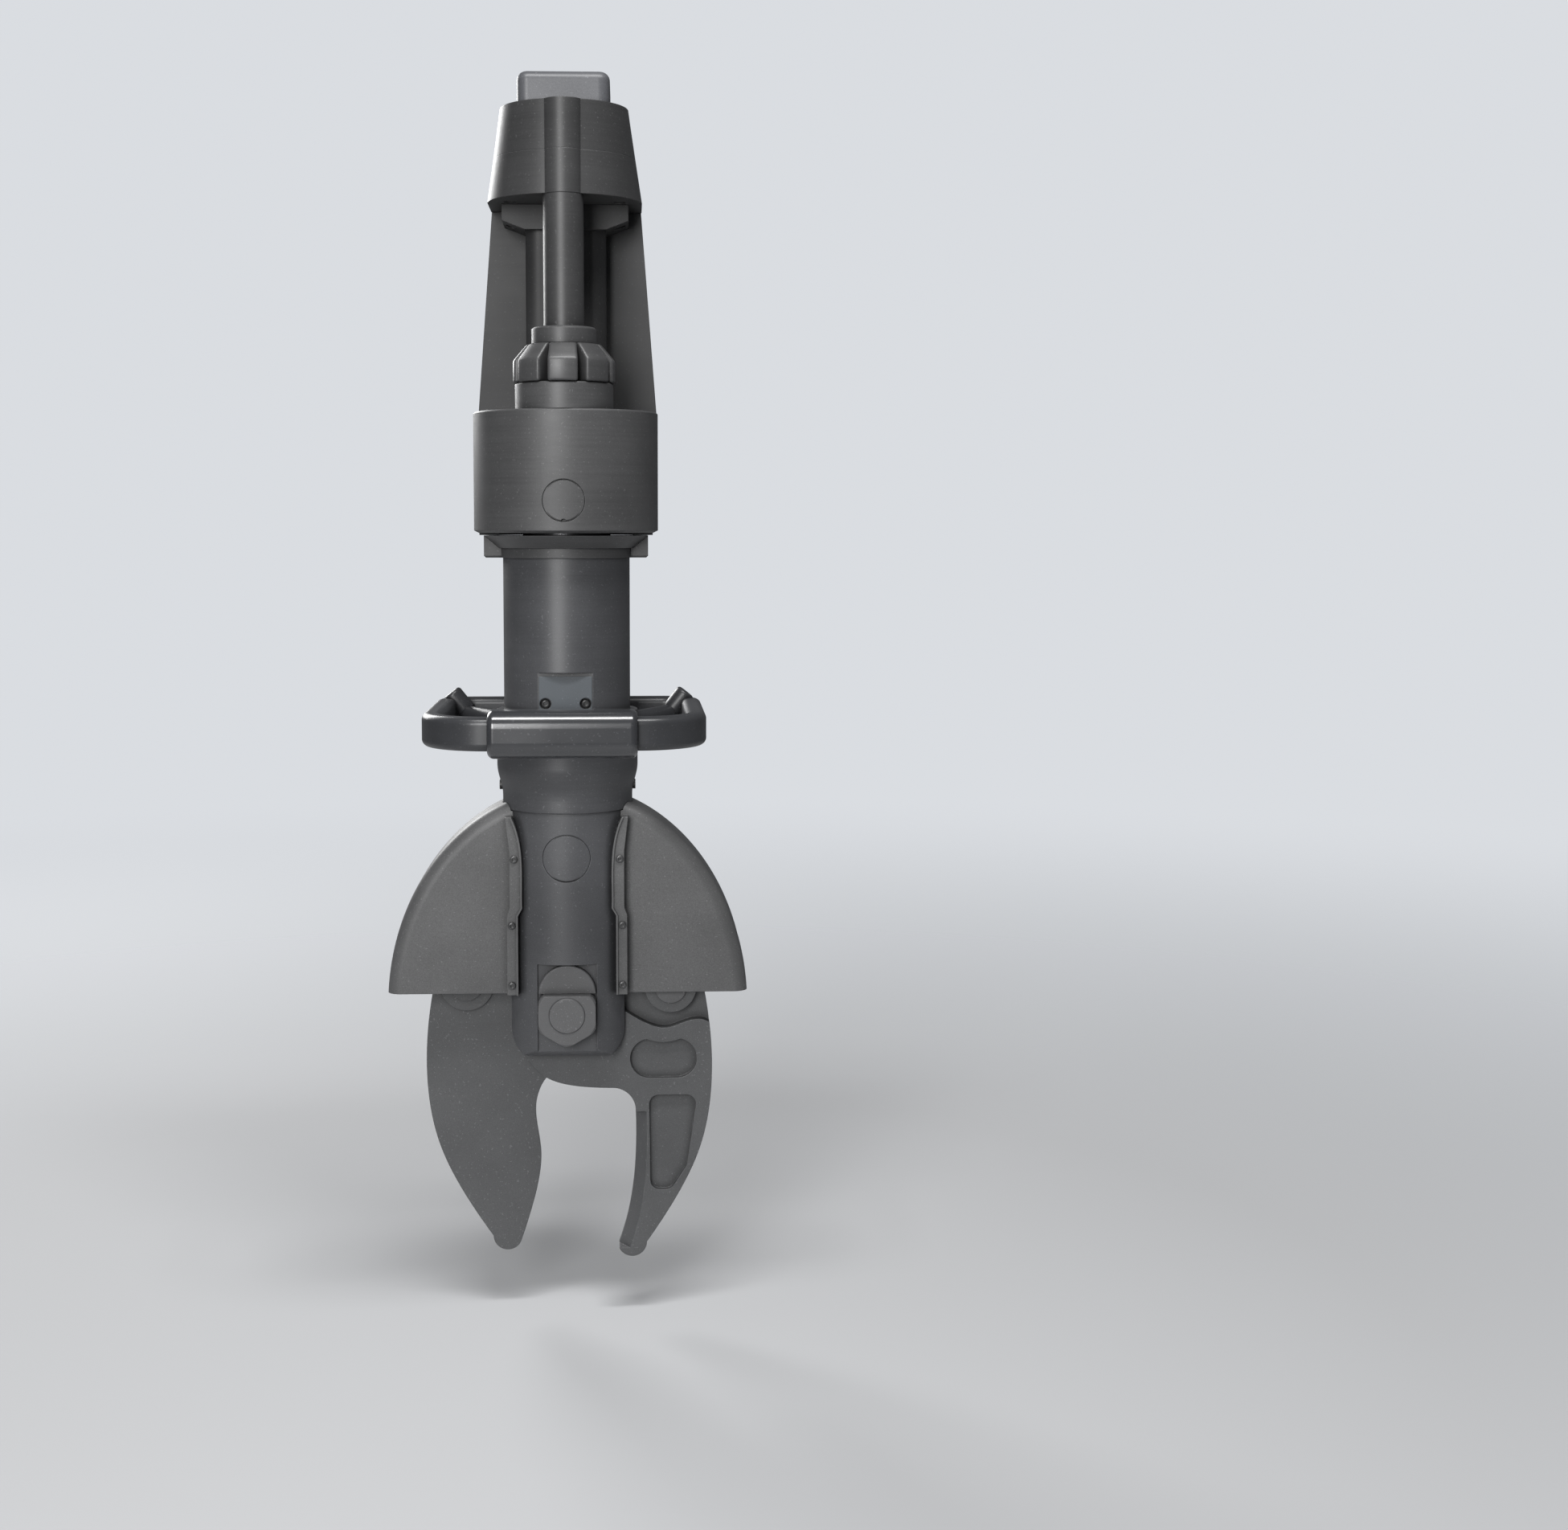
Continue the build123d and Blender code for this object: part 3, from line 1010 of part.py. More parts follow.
def main():
    os.makedirs("parts", exist_ok=True)
    save("blade_right", blade_right())
    save("blade_left", blade_left())
    save("link_right", link())
    save("link_left", behind(mirrored(link())))
    save("link_pin_right", link_pin())
    save("link_pin_left", behind(mirrored(link_pin())))
    save("crosshead", crosshead())
    save("crosshead_pins", crosshead_pin(), behind(mirrored(crosshead_pin())))
    save("yoke_body", yoke_body())
    save("yoke_plug", yoke_plug())
    save("pivot_bolt", pivot_bolt())
    save("pivot_nut", pivot_nut())
    save("nut_lock_plate", nut_lock_plate())
    save("thrust_washers", thrust_washer(), behind(thrust_washer()))
    save("guard_right", guard())
    save("guard_left", mirrored(guard()))
    save("guard_screws", *guard_screws())
    save("cylinder_barrel", cylinder_barrel())
    save("label_plate", label_plate())
    save("label_screws", *label_screws())
    save("piston", piston())
    save("piston_seal", piston_seal())
    save("piston_rod", piston_rod())
    save("rod_gland", rod_gland())
    save("bell_collar", bell_collar())
    save("collar_screws", *map(side_screw, SIDES))
    save("handle_hub", handle_hub())
    save("handle_ring", handle_ring())
    save("handle_screws", *handle_screws())
    save("front_grip", front_grip())
    save("handle_struts", handle_strut(), mirrored(handle_strut()))
    save("strap_studs", strap_stud(), mirrored(strap_stud()))
    save("housing_flange", housing_flange())
    save("motor_housing", motor_housing())
    save("housing_plug", housing_plug())
    save("motor_stator", motor_stator())
    save("motor_rotor", motor_rotor())
    save("motor_bearings", *motor_bearings())
    save("wobble_plate", wobble_plate())
    save("pump_block", pump_block())
    save("pump_plungers", *pump_plungers())
    save("oil_bladder", oil_bladder())
    save("valve_body", valve_body())
    save("star_base_ring", star_base_ring())
    save("star_grip", star_grip())
    save("control_spindle", control_spindle())
    save("return_spring", return_spring())
    save("grip_collar", grip_collar())
    save("grip_tube", grip_tube())
    save("rear_column", rear_column())
    save("rear_spine", rear_spine())
    save("spine_screws", *spine_screws())
    save("control_board", control_board())
    save("head_lower_shell", head_body() & block(-THROUGH, THROUGH, -THROUGH, THROUGH, 0, HEAD_SEAM))
    save("head_upper_shell", head_body() & block(-THROUGH, THROUGH, -THROUGH, THROUGH, HEAD_SEAM, THROUGH))
    save("head_screws", *head_screws())
    save("battery_contacts", battery_contacts())
    save("battery_pack", battery_pack())
    save("battery_latch", battery_latch())
    save("latch_spring", latch_spring())


main()
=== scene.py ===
from math import asin, cos, pi, radians, sin

import bmesh
import bpy
from bpy.props import FloatProperty, FloatVectorProperty, IntProperty, PointerProperty
from mathutils import Matrix, Vector


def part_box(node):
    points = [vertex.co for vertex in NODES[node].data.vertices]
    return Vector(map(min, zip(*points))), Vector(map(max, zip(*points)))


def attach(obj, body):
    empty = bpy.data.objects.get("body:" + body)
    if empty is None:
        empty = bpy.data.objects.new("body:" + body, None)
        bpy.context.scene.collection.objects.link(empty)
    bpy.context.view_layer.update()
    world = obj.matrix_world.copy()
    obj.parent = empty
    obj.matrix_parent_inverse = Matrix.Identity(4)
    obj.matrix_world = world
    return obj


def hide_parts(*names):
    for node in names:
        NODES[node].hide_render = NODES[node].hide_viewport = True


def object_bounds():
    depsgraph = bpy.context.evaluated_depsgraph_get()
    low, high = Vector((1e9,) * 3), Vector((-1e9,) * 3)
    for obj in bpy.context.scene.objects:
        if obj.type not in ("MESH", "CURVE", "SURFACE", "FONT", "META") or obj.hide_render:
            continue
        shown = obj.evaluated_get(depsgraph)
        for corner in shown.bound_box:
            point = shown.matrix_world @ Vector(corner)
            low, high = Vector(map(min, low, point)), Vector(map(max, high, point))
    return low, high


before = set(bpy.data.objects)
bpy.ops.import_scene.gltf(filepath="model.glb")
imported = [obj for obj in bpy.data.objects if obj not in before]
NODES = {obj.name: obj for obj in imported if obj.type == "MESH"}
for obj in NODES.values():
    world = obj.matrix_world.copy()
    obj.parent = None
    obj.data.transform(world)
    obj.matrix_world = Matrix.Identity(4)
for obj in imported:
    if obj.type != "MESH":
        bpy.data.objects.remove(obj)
CAD_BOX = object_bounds()

bl_info = {
    "name": "Hydraulic Rescue Cutter",
    "version": (1, 0, 0),
    "blender": (4, 5, 0),
    "location": "3D View > Sidebar > Cutter",
    "description": "Finishes a battery-powered hydraulic rescue cutter and lays out its studio",
    "category": "Add Mesh",
}

TOOL_AXIS_Y = -0.076    # depth of the tool's long axis


# ---- settings -----------------------------------------------------------------------

def colour(label, description, default):
    """A colour setting, in linear red, green and blue."""
    return FloatVectorProperty(
        name=label, description=description, default=default, subtype="COLOR", size=3, min=0.0, max=1.0
    )


def length(label, description, default):
    """A length setting, in metres."""
    return FloatProperty(
        name=label, description=description, default=default,
        unit="LENGTH", subtype="DISTANCE", min=0.0, precision=5,
    )


class FinishSettings(bpy.types.PropertyGroup):
    """Colours and fine sizes of the cutter's finishes"""

    case: colour("Case", "Printed shells of the head, the housing and the grip", (0.058, 0.058, 0.059))
    metal: colour("Barrel and yoke", "Coated barrel, collar and yoke", (0.060, 0.061, 0.065))
    guard: colour("Guards", "Smooth moulded guards", (0.084, 0.084, 0.085))
    blade: colour("Blades", "Coated blades and links", (0.070, 0.071, 0.073))
    handle: colour("Handle", "Ring handle, struts and studs", (0.036, 0.037, 0.040))
    sleeve: colour("Sleeve", "Rubber sleeve on the handle's front bar", (0.030, 0.031, 0.034))
    battery: colour("Battery", "Battery case and its latch", (0.088, 0.090, 0.098))
    fastener: colour("Fasteners", "Nut, bolt, lock plate and screws", (0.086, 0.086, 0.088))
    label: colour("Label", "Blank label plate", (0.070, 0.080, 0.090))
    layer: length("Layer height", "Height of one printed layer", 0.0009)
    edge: length("Edge round", "Radius of the small rounds on edges", 0.0008)


class StarSettings(bpy.types.PropertyGroup):
    """Shape of the star-shaped control grip"""

    lobes: IntProperty(name="Lobes", description="Number of lobes round the grip", default=8, min=3, max=16)
    groove: length("Groove", "Half the width of a groove at the rim", 0.0038)
    groove_depth: length("Groove depth", "How far a groove reaches in from the rim", 0.013)
    slope: length("Slope", "How far in from the rim the sloped top starts", 0.011)
    drop: length("Drop", "How far the sloped top comes down", 0.013)
    bore: length("Bore", "Radius of the hole for the grip's core", 0.0123)
    round: length("Round", "Radius of the lobes' edges", 0.0016)


class ScrewSettings(bpy.types.PropertyGroup):
    """Shape of the button-head screws"""

    dome: FloatProperty(
        name="Dome", description="Height of the dome as a share of the head",
        default=0.55, min=0.1,
    )
    socket: FloatProperty(
        name="Socket",
        description="Width of the socket as a share of the head",
        default=0.48,
        min=0.1,
        max=0.9,
    )


class StudioSettings(bpy.types.PropertyGroup):
    """The floor, the lights and the camera"""

    floor: colour("Floor", "Colour of the floor", (0.50, 0.505, 0.515))
    surround: colour("Surround", "Pale colour behind the tool", (0.700, 0.722, 0.755))
    ambient: FloatProperty(
        name="Ambient", description="Strength of the light from all round",
        default=0.15, min=0.0,
    )
    key: FloatProperty(name="Key light", description="Power of the front light", default=66.0, unit="POWER")
    strip: FloatProperty(
        name="Strip light", description="Power of the light overhead",
        default=48.0, unit="POWER",
    )
    rear: FloatProperty(
        name="Rear light", description="Power of the light behind",
        default=55.0, unit="POWER",
    )
    gap: length("Floor gap", "Height of the blade tips above the floor", 0.05)
    distance: length("Camera distance", "From the tool's long axis to the camera", 1.72)
    eye: length("Eye height", "Height of the camera above the blade tips", 0.604)
    lens: FloatProperty(
        name="Lens", description="Focal length", default=48.2, unit="CAMERA", min=10.0
    )


def settings(name):
    """One group of this add-on's settings."""
    return getattr(bpy.context.scene, f"cutter_{name}")


# ---- shader helpers -----------------------------------------------------------------

def joined(tree, socket, value):
    """Feeds a socket from another socket, or gives it a plain value."""
    if isinstance(value, bpy.types.NodeSocket):
        tree.links.new(value, socket)
    elif isinstance(value, tuple) and len(value) == 3 and socket.type == "RGBA":
        socket.default_value = (*value, 1.0)
    else:
        socket.default_value = value


def noise(tree, stretch, scale, detail=3.0):
    """Noise on Object coordinates, stretched by its own amount on each axis."""
    coords = tree.nodes.new("ShaderNodeTexCoord")
    mapping = tree.nodes.new("ShaderNodeMapping")
    mapping.inputs["Scale"].default_value = stretch
    cloud = tree.nodes.new("ShaderNodeTexNoise")
    cloud.inputs["Scale"].default_value = scale
    cloud.inputs["Detail"].default_value = detail
    tree.links.new(coords.outputs["Object"], mapping.inputs["Vector"])
    tree.links.new(mapping.outputs["Vector"], cloud.inputs["Vector"])
    return cloud.outputs["Fac"]


def ranged(tree, value, low, high, to_low, to_high):
    """A value carried from one range to another, held at its ends."""
    node = tree.nodes.new("ShaderNodeMapRange")
    for label, number in (("From Min", low), ("From Max", high), ("To Min", to_low), ("To Max", to_high)):
        node.inputs[label].default_value = number
    tree.links.new(value, node.inputs["Value"])
    return node.outputs["Result"]


def blended(tree, factor, first, second, mode="MIX"):
    """Two colours mixed by a factor."""
    mix = tree.nodes.new("ShaderNodeMix")
    mix.data_type = "RGBA"
    mix.blend_type = mode
    joined(tree, mix.inputs[0], factor)
    joined(tree, mix.inputs[6], first)
    joined(tree, mix.inputs[7], second)
    return mix.outputs[2]


def worked(tree, operation, first, second):
    """The result of one sum on two values."""
    node = tree.nodes.new("ShaderNodeMath")
    node.operation = operation
    joined(tree, node.inputs[0], first)
    joined(tree, node.inputs[1], second)
    return node.outputs["Value"]


def rounded_edges(tree, radius):
    """A normal rounded over the edges, and how strongly each spot lies on an edge."""
    bevel = tree.nodes.new("ShaderNodeBevel")
    bevel.samples = 6
    bevel.inputs["Radius"].default_value = radius
    geometry = tree.nodes.new("ShaderNodeNewGeometry")
    dot = tree.nodes.new("ShaderNodeVectorMath")
    dot.operation = "DOT_PRODUCT"
    tree.links.new(bevel.outputs["Normal"], dot.inputs[0])
    tree.links.new(geometry.outputs["Normal"], dot.inputs[1])
    return bevel.outputs["Normal"], ranged(tree, dot.outputs["Value"], 0.998, 0.90, 0.0, 1.0)


def painted_hollow_shade(tree, reach):
    """Painted shade for corners and pockets: near one on open faces, less in corners and pockets."""
    shade = tree.nodes.new("ShaderNodeAmbientOcclusion")
    shade.samples = 6
    shade.inputs["Distance"].default_value = reach
    return ranged(tree, shade.outputs["AO"], 0.45, 0.98, 0.45, 1.0)


def finish(name, base, roughness, layers=0.0, grain=0.3, wear=0.3, metallic=0.0, specular=0.5, coat=0.0):
    """A worked surface: mottled tone, printed layers, fine grain, painted shade in corners and pockets,
    dust and rubbed edges.
    """
    fine = settings("finish")
    base = tuple(base)
    material = bpy.data.materials.new(name)
    material.use_nodes = True
    tree = material.node_tree
    shader = tree.nodes["Principled BSDF"]

    mottle = noise(tree, (1, 1, 1), 16.0, 5.0)
    streak = noise(tree, (9.0, 9.0, 0.5 / fine.layer), 1.0, 1.0)
    band = noise(tree, (2.0, 2.0, 120.0), 1.0, 2.0)
    speck = noise(tree, (1, 1, 1), 1500.0, 1.0)

    dark = tuple(0.88 * part for part in base)
    light = tuple(1.12 * part for part in base)
    tone = blended(tree, ranged(tree, mottle, 0.32, 0.68, 0.0, 1.0), dark, light)
    lines = worked(tree, "ADD", worked(tree, "MULTIPLY", streak, 0.6), worked(tree, "MULTIPLY", band, 0.4))
    shade = ranged(tree, lines, 0.35, 0.65, 1.0 - 0.5 * layers, 1.0 + 0.5 * layers)
    specks = ranged(tree, speck, 0.3, 0.7, 1.0 - 0.4 * grain, 1.0 + 0.4 * grain)
    shade = worked(tree, "MULTIPLY", shade, specks)
    tone = blended(tree, 1.0, tone, shade, "MULTIPLY")

    # Painted shade: ambient occlusion darkens the colour in corners and pockets.
    tone = blended(tree, 1.0, tone, painted_hollow_shade(tree, 0.007), "MULTIPLY")

    dust = ranged(tree, noise(tree, (1, 1, 1), 640.0, 0.0), 0.755, 0.80, 0.0, 0.35)
    tone = blended(tree, dust, tone, tuple(min(1.0, 2.4 * part + 0.03) for part in base))
    normal, edge = rounded_edges(tree, fine.edge)
    patchy = ranged(tree, noise(tree, (1, 1, 1), 90.0, 4.0), 0.44, 0.64, 0.15, 1.0)
    rubbed = worked(tree, "MULTIPLY", worked(tree, "MULTIPLY", edge, patchy), wear)
    tone = blended(tree, rubbed, tone, tuple(min(1.0, 2.6 * part + 0.03) for part in base))
    tree.links.new(tone, shader.inputs["Base Color"])

    smudge = noise(tree, (1, 1, 0.7), 11.0, 4.0)
    gloss = ranged(tree, smudge, 0.3, 0.7, roughness - 0.05, roughness + 0.05)
    gloss = worked(tree, "ADD", gloss, ranged(tree, streak, 0.3, 0.7, -0.12 * layers, 0.12 * layers))
    gloss = worked(tree, "SUBTRACT", gloss, worked(tree, "MULTIPLY", rubbed, 0.12))
    tree.links.new(gloss, shader.inputs["Roughness"])

    height = worked(tree, "MULTIPLY", streak, 2.0 * layers)
    height = worked(tree, "ADD", height, worked(tree, "MULTIPLY", speck, 0.5 * grain))
    bump = tree.nodes.new("ShaderNodeBump")
    bump.inputs["Strength"].default_value = 0.30
    bump.inputs["Distance"].default_value = 0.0002
    tree.links.new(height, bump.inputs["Height"])
    tree.links.new(normal, bump.inputs["Normal"])
    tree.links.new(bump.outputs["Normal"], shader.inputs["Normal"])
    shader.inputs["Metallic"].default_value = metallic
    shader.inputs["Specular IOR Level"].default_value = specular
    shader.inputs["Coat Weight"].default_value = coat
    shader.inputs["Coat Roughness"].default_value = 0.25
    return material


def dress(material, *names):
    """Gives CAD pieces a material through their own slots."""
    for name in names:
        for slot in NODES[name].material_slots:
            slot.material = material


# ---- mesh helpers -------------------------------------------------------------------

def islands(name):
    """The lowest and highest corner of each separate solid in one CAD node."""
    mesh = bmesh.new()
    mesh.from_mesh(NODES[name].data)
    bmesh.ops.remove_doubles(mesh, verts=mesh.verts, dist=1e-6)
    waiting = set(mesh.verts)
    boxes = []
    while waiting:
        reached = [waiting.pop()]
        for vert in reached:
            for edge in vert.link_edges:
                other = edge.other_vert(vert)
                if other in waiting:
                    waiting.discard(other)
                    reached.append(other)
        low = Vector(min(vert.co[axis] for vert in reached) for axis in range(3))
        high = Vector(max(vert.co[axis] for vert in reached) for axis in range(3))
        boxes.append((low, high))
    mesh.free()
    return sorted(boxes, key=lambda box: tuple(round(part, 5) for part in box[0]))


def linked(name, mesh):
    """A new object that holds a mesh, linked to the scene."""
    piece = bpy.data.objects.new(name, mesh)
    bpy.context.collection.objects.link(piece)
    return piece


def lathe(name, profile, steps):
    """A closed solid of revolution about Z from a closed profile of radii and heights."""
    mesh = bmesh.new()
    rings = []
    for step in range(steps):
        turn = 2 * pi * step / steps
        across, along = cos(turn), sin(turn)
        points = [(radius * across, radius * along, height) for radius, height in profile]
        rings.append([mesh.verts.new(point) for point in points])
    for step in range(steps):
        near, far = rings[step], rings[(step + 1) % steps]
        for spot in range(len(profile)):
            after = (spot + 1) % len(profile)
            corners = (near[spot], far[spot], far[after], near[after])
            mesh.faces.new(dict.fromkeys(corners))
    bmesh.ops.remove_doubles(mesh, verts=mesh.verts, dist=1e-7)
    bmesh.ops.recalc_face_normals(mesh, faces=mesh.faces)
    data = bpy.data.meshes.new(name)
    mesh.to_mesh(data)
    mesh.free()
    return data


def smoothed(mesh, angle=30.0):
    """Smooth faces with sharp edges past an angle."""
    mesh.shade_smooth()
    mesh.set_sharp_from_angle(angle=radians(angle))


# ---- Geometry Nodes -----------------------------------------------------------------

def placing_tree():
    """A tree that sets one piece at each point, turned by the point's own turn."""
    tree = bpy.data.node_groups.new("cutter_placing", "GeometryNodeTree")
    for label, kind, way in (
        ("Geometry", "NodeSocketGeometry", "INPUT"),
        ("Piece", "NodeSocketObject", "INPUT"),
        ("Size", "NodeSocketFloat", "INPUT"),
        ("Material", "NodeSocketMaterial", "INPUT"),
        ("Geometry", "NodeSocketGeometry", "OUTPUT"),
    ):
        tree.interface.new_socket(label, in_out=way, socket_type=kind)
    start = tree.nodes.new("NodeGroupInput")
    piece = tree.nodes.new("GeometryNodeObjectInfo")
    turn = tree.nodes.new("GeometryNodeInputNamedAttribute")
    turn.data_type = "FLOAT_VECTOR"
    turn.inputs["Name"].default_value = "turn"
    place = tree.nodes.new("GeometryNodeInstanceOnPoints")
    real = tree.nodes.new("GeometryNodeRealizeInstances")
    paint = tree.nodes.new("GeometryNodeSetMaterial")
    end = tree.nodes.new("NodeGroupOutput")
    for source, target in (
        (start.outputs["Piece"], piece.inputs["Object"]),
        (start.outputs["Geometry"], place.inputs["Points"]),
        (piece.outputs["Geometry"], place.inputs["Instance"]),
        (turn.outputs["Attribute"], place.inputs["Rotation"]),
        (start.outputs["Size"], place.inputs["Scale"]),
        (place.outputs["Instances"], real.inputs["Geometry"]),
        (real.outputs["Geometry"], paint.inputs["Geometry"]),
        (start.outputs["Material"], paint.inputs["Material"]),
        (paint.outputs["Geometry"], end.inputs["Geometry"]),
    ):
        tree.links.new(source, target)
    return tree


def placed(name, original, places, material, size=1.0):
    """A plain mesh with a copy of one piece at each place. A place is a point and a turn."""
    points = bpy.data.meshes.new(f"{name}_points")
    points.from_pydata([tuple(point) for point, _ in places], [], [])
    turns = points.attributes.new("turn", "FLOAT_VECTOR", "POINT")
    for spot, (_, turn) in zip(turns.data, places):
        spot.vector = turn
    carrier = linked(f"{name}_carrier", points)
    template = linked(f"{name}_template", original)
    tree = bpy.data.node_groups.get("cutter_placing") or placing_tree()
    modifier = carrier.modifiers.new("placing", "NODES")
    modifier.node_group = tree
    values = {"Piece": template, "Size": size, "Material": material}
    for item in tree.interface.items_tree:
        if item.in_out == "INPUT" and item.name in values:
            modifier[item.identifier] = values[item.name]
    graph = bpy.context.evaluated_depsgraph_get()
    mesh = bpy.data.meshes.new_from_object(carrier.evaluated_get(graph))
    mesh.name = name
    for spare in (carrier, template):
        bpy.data.objects.remove(spare)
    smoothed(mesh, 40.0)
    return linked(name, mesh)


# ---- pieces -------------------------------------------------------------------------

class CUTTER_OT_head(bpy.types.Operator):
    """Finish the head shells, the grip, the column and the motor housing"""

    bl_idname = "cutter.head"
    bl_label = "Head and Housing"

    def execute(self, context):
        tint = settings("finish")
        printed = finish("printed_case", tint.case, 0.47, layers=0.14, grain=0.25, wear=0.22)
        dress(printed, "motor_housing", "housing_plug", "housing_flange", "grip_collar", "star_base_ring")
        # Painted shade: the head shells and the grip tube get a darker copy of the case colour, for the
        # light falling off towards the top.
        shade = tuple(0.66 * part for part in tint.case)
        dress(finish("printed_head_painted_shade", shade, 0.45, layers=0.12, grain=0.25, wear=0.25), "head_lower_shell",
              "head_upper_shell", "grip_tube")
        # Painted shadow: the column and the spine get a still darker copy of the case colour, for the
        # shadow they lie in.
        shade = tuple(0.42 * part for part in tint.case)
        column = finish("printed_column_painted_shadow", shade, 0.55, layers=0.08, grain=0.25, wear=0.15)
        dress(column, "rear_column", "rear_spine")
        return {"FINISHED"}


class CUTTER_OT_battery(bpy.types.Operator):
    """Finish the battery and its latch"""

    bl_idname = "cutter.battery"
    bl_label = "Battery"

    def execute(self, context):
        case = finish("battery_case", settings("finish").battery, 0.42, layers=0.05, grain=0.35, wear=0.3)
        dress(case, "battery_pack", "battery_latch")
        return {"FINISHED"}


class CUTTER_OT_cylinder(bpy.types.Operator):
    """Finish the barrel, the collar, the yoke and the label plate"""

    bl_idname = "cutter.cylinder"
    bl_label = "Cylinder and Yoke"

    def execute(self, context):
        tint = settings("finish")
        coated = finish("coated_barrel", tint.metal, 0.40, layers=0.10, grain=0.25, wear=0.25)
        dress(coated, "cylinder_barrel", "bell_collar", "handle_hub")
        shade = tuple(1.12 * part for part in tint.metal)
        yoke = finish("coated_yoke", shade, 0.44, layers=0.05, grain=0.3, wear=0.3)
        dress(yoke, "yoke_body", "yoke_plug")
        dress(finish("label_plate_matt", tint.label, 0.6, grain=0.15, wear=0.1), "label_plate")
        return {"FINISHED"}


class CUTTER_OT_guards(bpy.types.Operator):
    """Finish the two guards"""

    bl_idname = "cutter.guards"
    bl_label = "Guards"

    def execute(self, context):
        moulded = finish("moulded_guard", settings("finish").guard, 0.46, layers=0.03, grain=0.4, wear=0.28)
        dress(moulded, "guard_right", "guard_left")
        return {"FINISHED"}


class CUTTER_OT_blades(bpy.types.Operator):
    """Finish the blades, the links and their pins"""

    bl_idname = "cutter.blades"
    bl_label = "Blades and Links"

    def execute(self, context):
        tint = settings("finish")
        coated = finish("coated_blade", tint.blade, 0.43, layers=0.03, grain=0.35, wear=0.45)
        dress(coated, "blade_right", "blade_left", "link_right", "link_left")
        pins = finish("link_pins", tint.fastener, 0.38, grain=0.3, wear=0.5)
        dress(pins, "link_pin_right", "link_pin_left")
        return {"FINISHED"}


class CUTTER_OT_handle(bpy.types.Operator):
    """Finish the ring handle and its rubber sleeve"""

    bl_idname = "cutter.handle"
    bl_label = "Handle"

    def execute(self, context):
        tint = settings("finish")
        ring = finish("handle_black", tint.handle, 0.36, layers=0.04, grain=0.25, wear=0.35)
        dress(ring, "handle_ring", "handle_struts", "strap_studs")
        rubber = finish("sleeve_rubber", tint.sleeve, 0.21, grain=0.1, wear=0.1, specular=0.8, coat=0.35)
        dress(rubber, "front_grip")
        return {"FINISHED"}


class CUTTER_OT_fasteners(bpy.types.Operator):
    """Finish the nut, the bolt and the screws that stay as they are"""

    bl_idname = "cutter.fasteners"
    bl_label = "Fasteners"

    def execute(self, context):
        tint = settings("finish").fastener
        black = finish("nut_black", tint, 0.44, grain=0.3, wear=0.45)
        dress(black, "pivot_nut", "nut_lock_plate", "pivot_bolt")
        shade = tuple(0.5 * part for part in tint)
        oxide = finish("screw_oxide", shade, 0.35, grain=0.2, wear=0.6, specular=0.7)
        dress(oxide, "collar_screws", "head_screws", "handle_screws")
        return {"FINISHED"}


class CUTTER_OT_inside(bpy.types.Operator):
    """Finish what lies inside: the ram, the pump, the motor and the board"""

    bl_idname = "cutter.inside"
    bl_label = "Inner Works"

    def execute(self, context):
        chrome = finish("chromed_rod", (0.62, 0.62, 0.63), 0.16, grain=0.05, wear=0.1, metallic=1.0)
        grey = (0.34, 0.34, 0.35)
        steel = finish("turned_steel", grey, 0.34, layers=0.2, grain=0.2, wear=0.5, metallic=1.0)
        bronze = finish("bronze", (0.45, 0.28, 0.11), 0.35, layers=0.1, grain=0.2, wear=0.5, metallic=1.0)
        red = (0.55, 0.24, 0.12)
        copper = finish("copper_winding", red, 0.40, layers=0.8, grain=0.2, wear=0.2, metallic=1.0)
        rubber = finish("seal_rubber", (0.020, 0.020, 0.021), 0.62, grain=0.3, wear=0.1)
        board = finish("green_board", (0.015, 0.090, 0.035), 0.38, grain=0.3, wear=0.3, coat=0.4)
        dress(chrome, "piston_rod", "crosshead_pins", "control_spindle")
        dress(steel, "piston", "crosshead", "rod_gland", "motor_rotor", "motor_bearings", "wobble_plate")
        dress(steel, "pump_block", "pump_plungers", "valve_body", "return_spring", "latch_spring")
        dress(bronze, "thrust_washers", "battery_contacts")
        dress(copper, "motor_stator")
        dress(rubber, "piston_seal", "oil_bladder")
        dress(board, "control_board")
        return {"FINISHED"}


def lobe_mesh(shape, low, high, rim):
    """One lobe of the star grip, on the X axis: a wedge with a sloped top and round edges."""
    pitch = pi / shape.lobes
    apex = rim - shape.groove_depth
    radii = (apex - 0.008, apex - 0.003, apex, rim - shape.slope, rim - 0.007, rim - 0.003, rim)
    across = 10
    mesh = bmesh.new()
    layers = []
    for top in (False, True):
        rows = []
        for radius in radii:
            share = max(0.0, (radius - apex) / shape.groove_depth)
            half = pitch - asin(shape.groove * share / radius)
            slope = max(0.0, (radius - (rim - shape.slope)) / shape.slope)
            height = high - shape.drop * slope if top else low
            turns = [half * (2 * step / across - 1) for step in range(across + 1)]
            points = [(radius * cos(turn), radius * sin(turn), height) for turn in turns]
            rows.append([mesh.verts.new(point) for point in points])
        layers.append(rows)
    last = len(radii) - 1
    for rows in layers:
        for row in range(last):
            for step in range(across):
                near, far = rows[row], rows[row + 1]
                mesh.faces.new((near[step], far[step], far[step + 1], near[step + 1]))
    below, above = layers
    for step in range(across):
        for row in (0, last):
            mesh.faces.new((below[row][step], below[row][step + 1], above[row][step + 1], above[row][step]))
    for row in range(last):
        for step in (0, across):
            mesh.faces.new((below[row][step], below[row + 1][step], above[row + 1][step], above[row][step]))
    bmesh.ops.recalc_face_normals(mesh, faces=mesh.faces)
    keen = [edge for edge in mesh.edges if edge.calc_face_angle(0.0) > radians(35)]
    bmesh.ops.bevel(mesh, geom=keen, offset=shape.round, segments=3, profile=0.5, affect="EDGES")
    data = bpy.data.meshes.new("star_lobe")
    mesh.to_mesh(data)
    mesh.free()
    return data


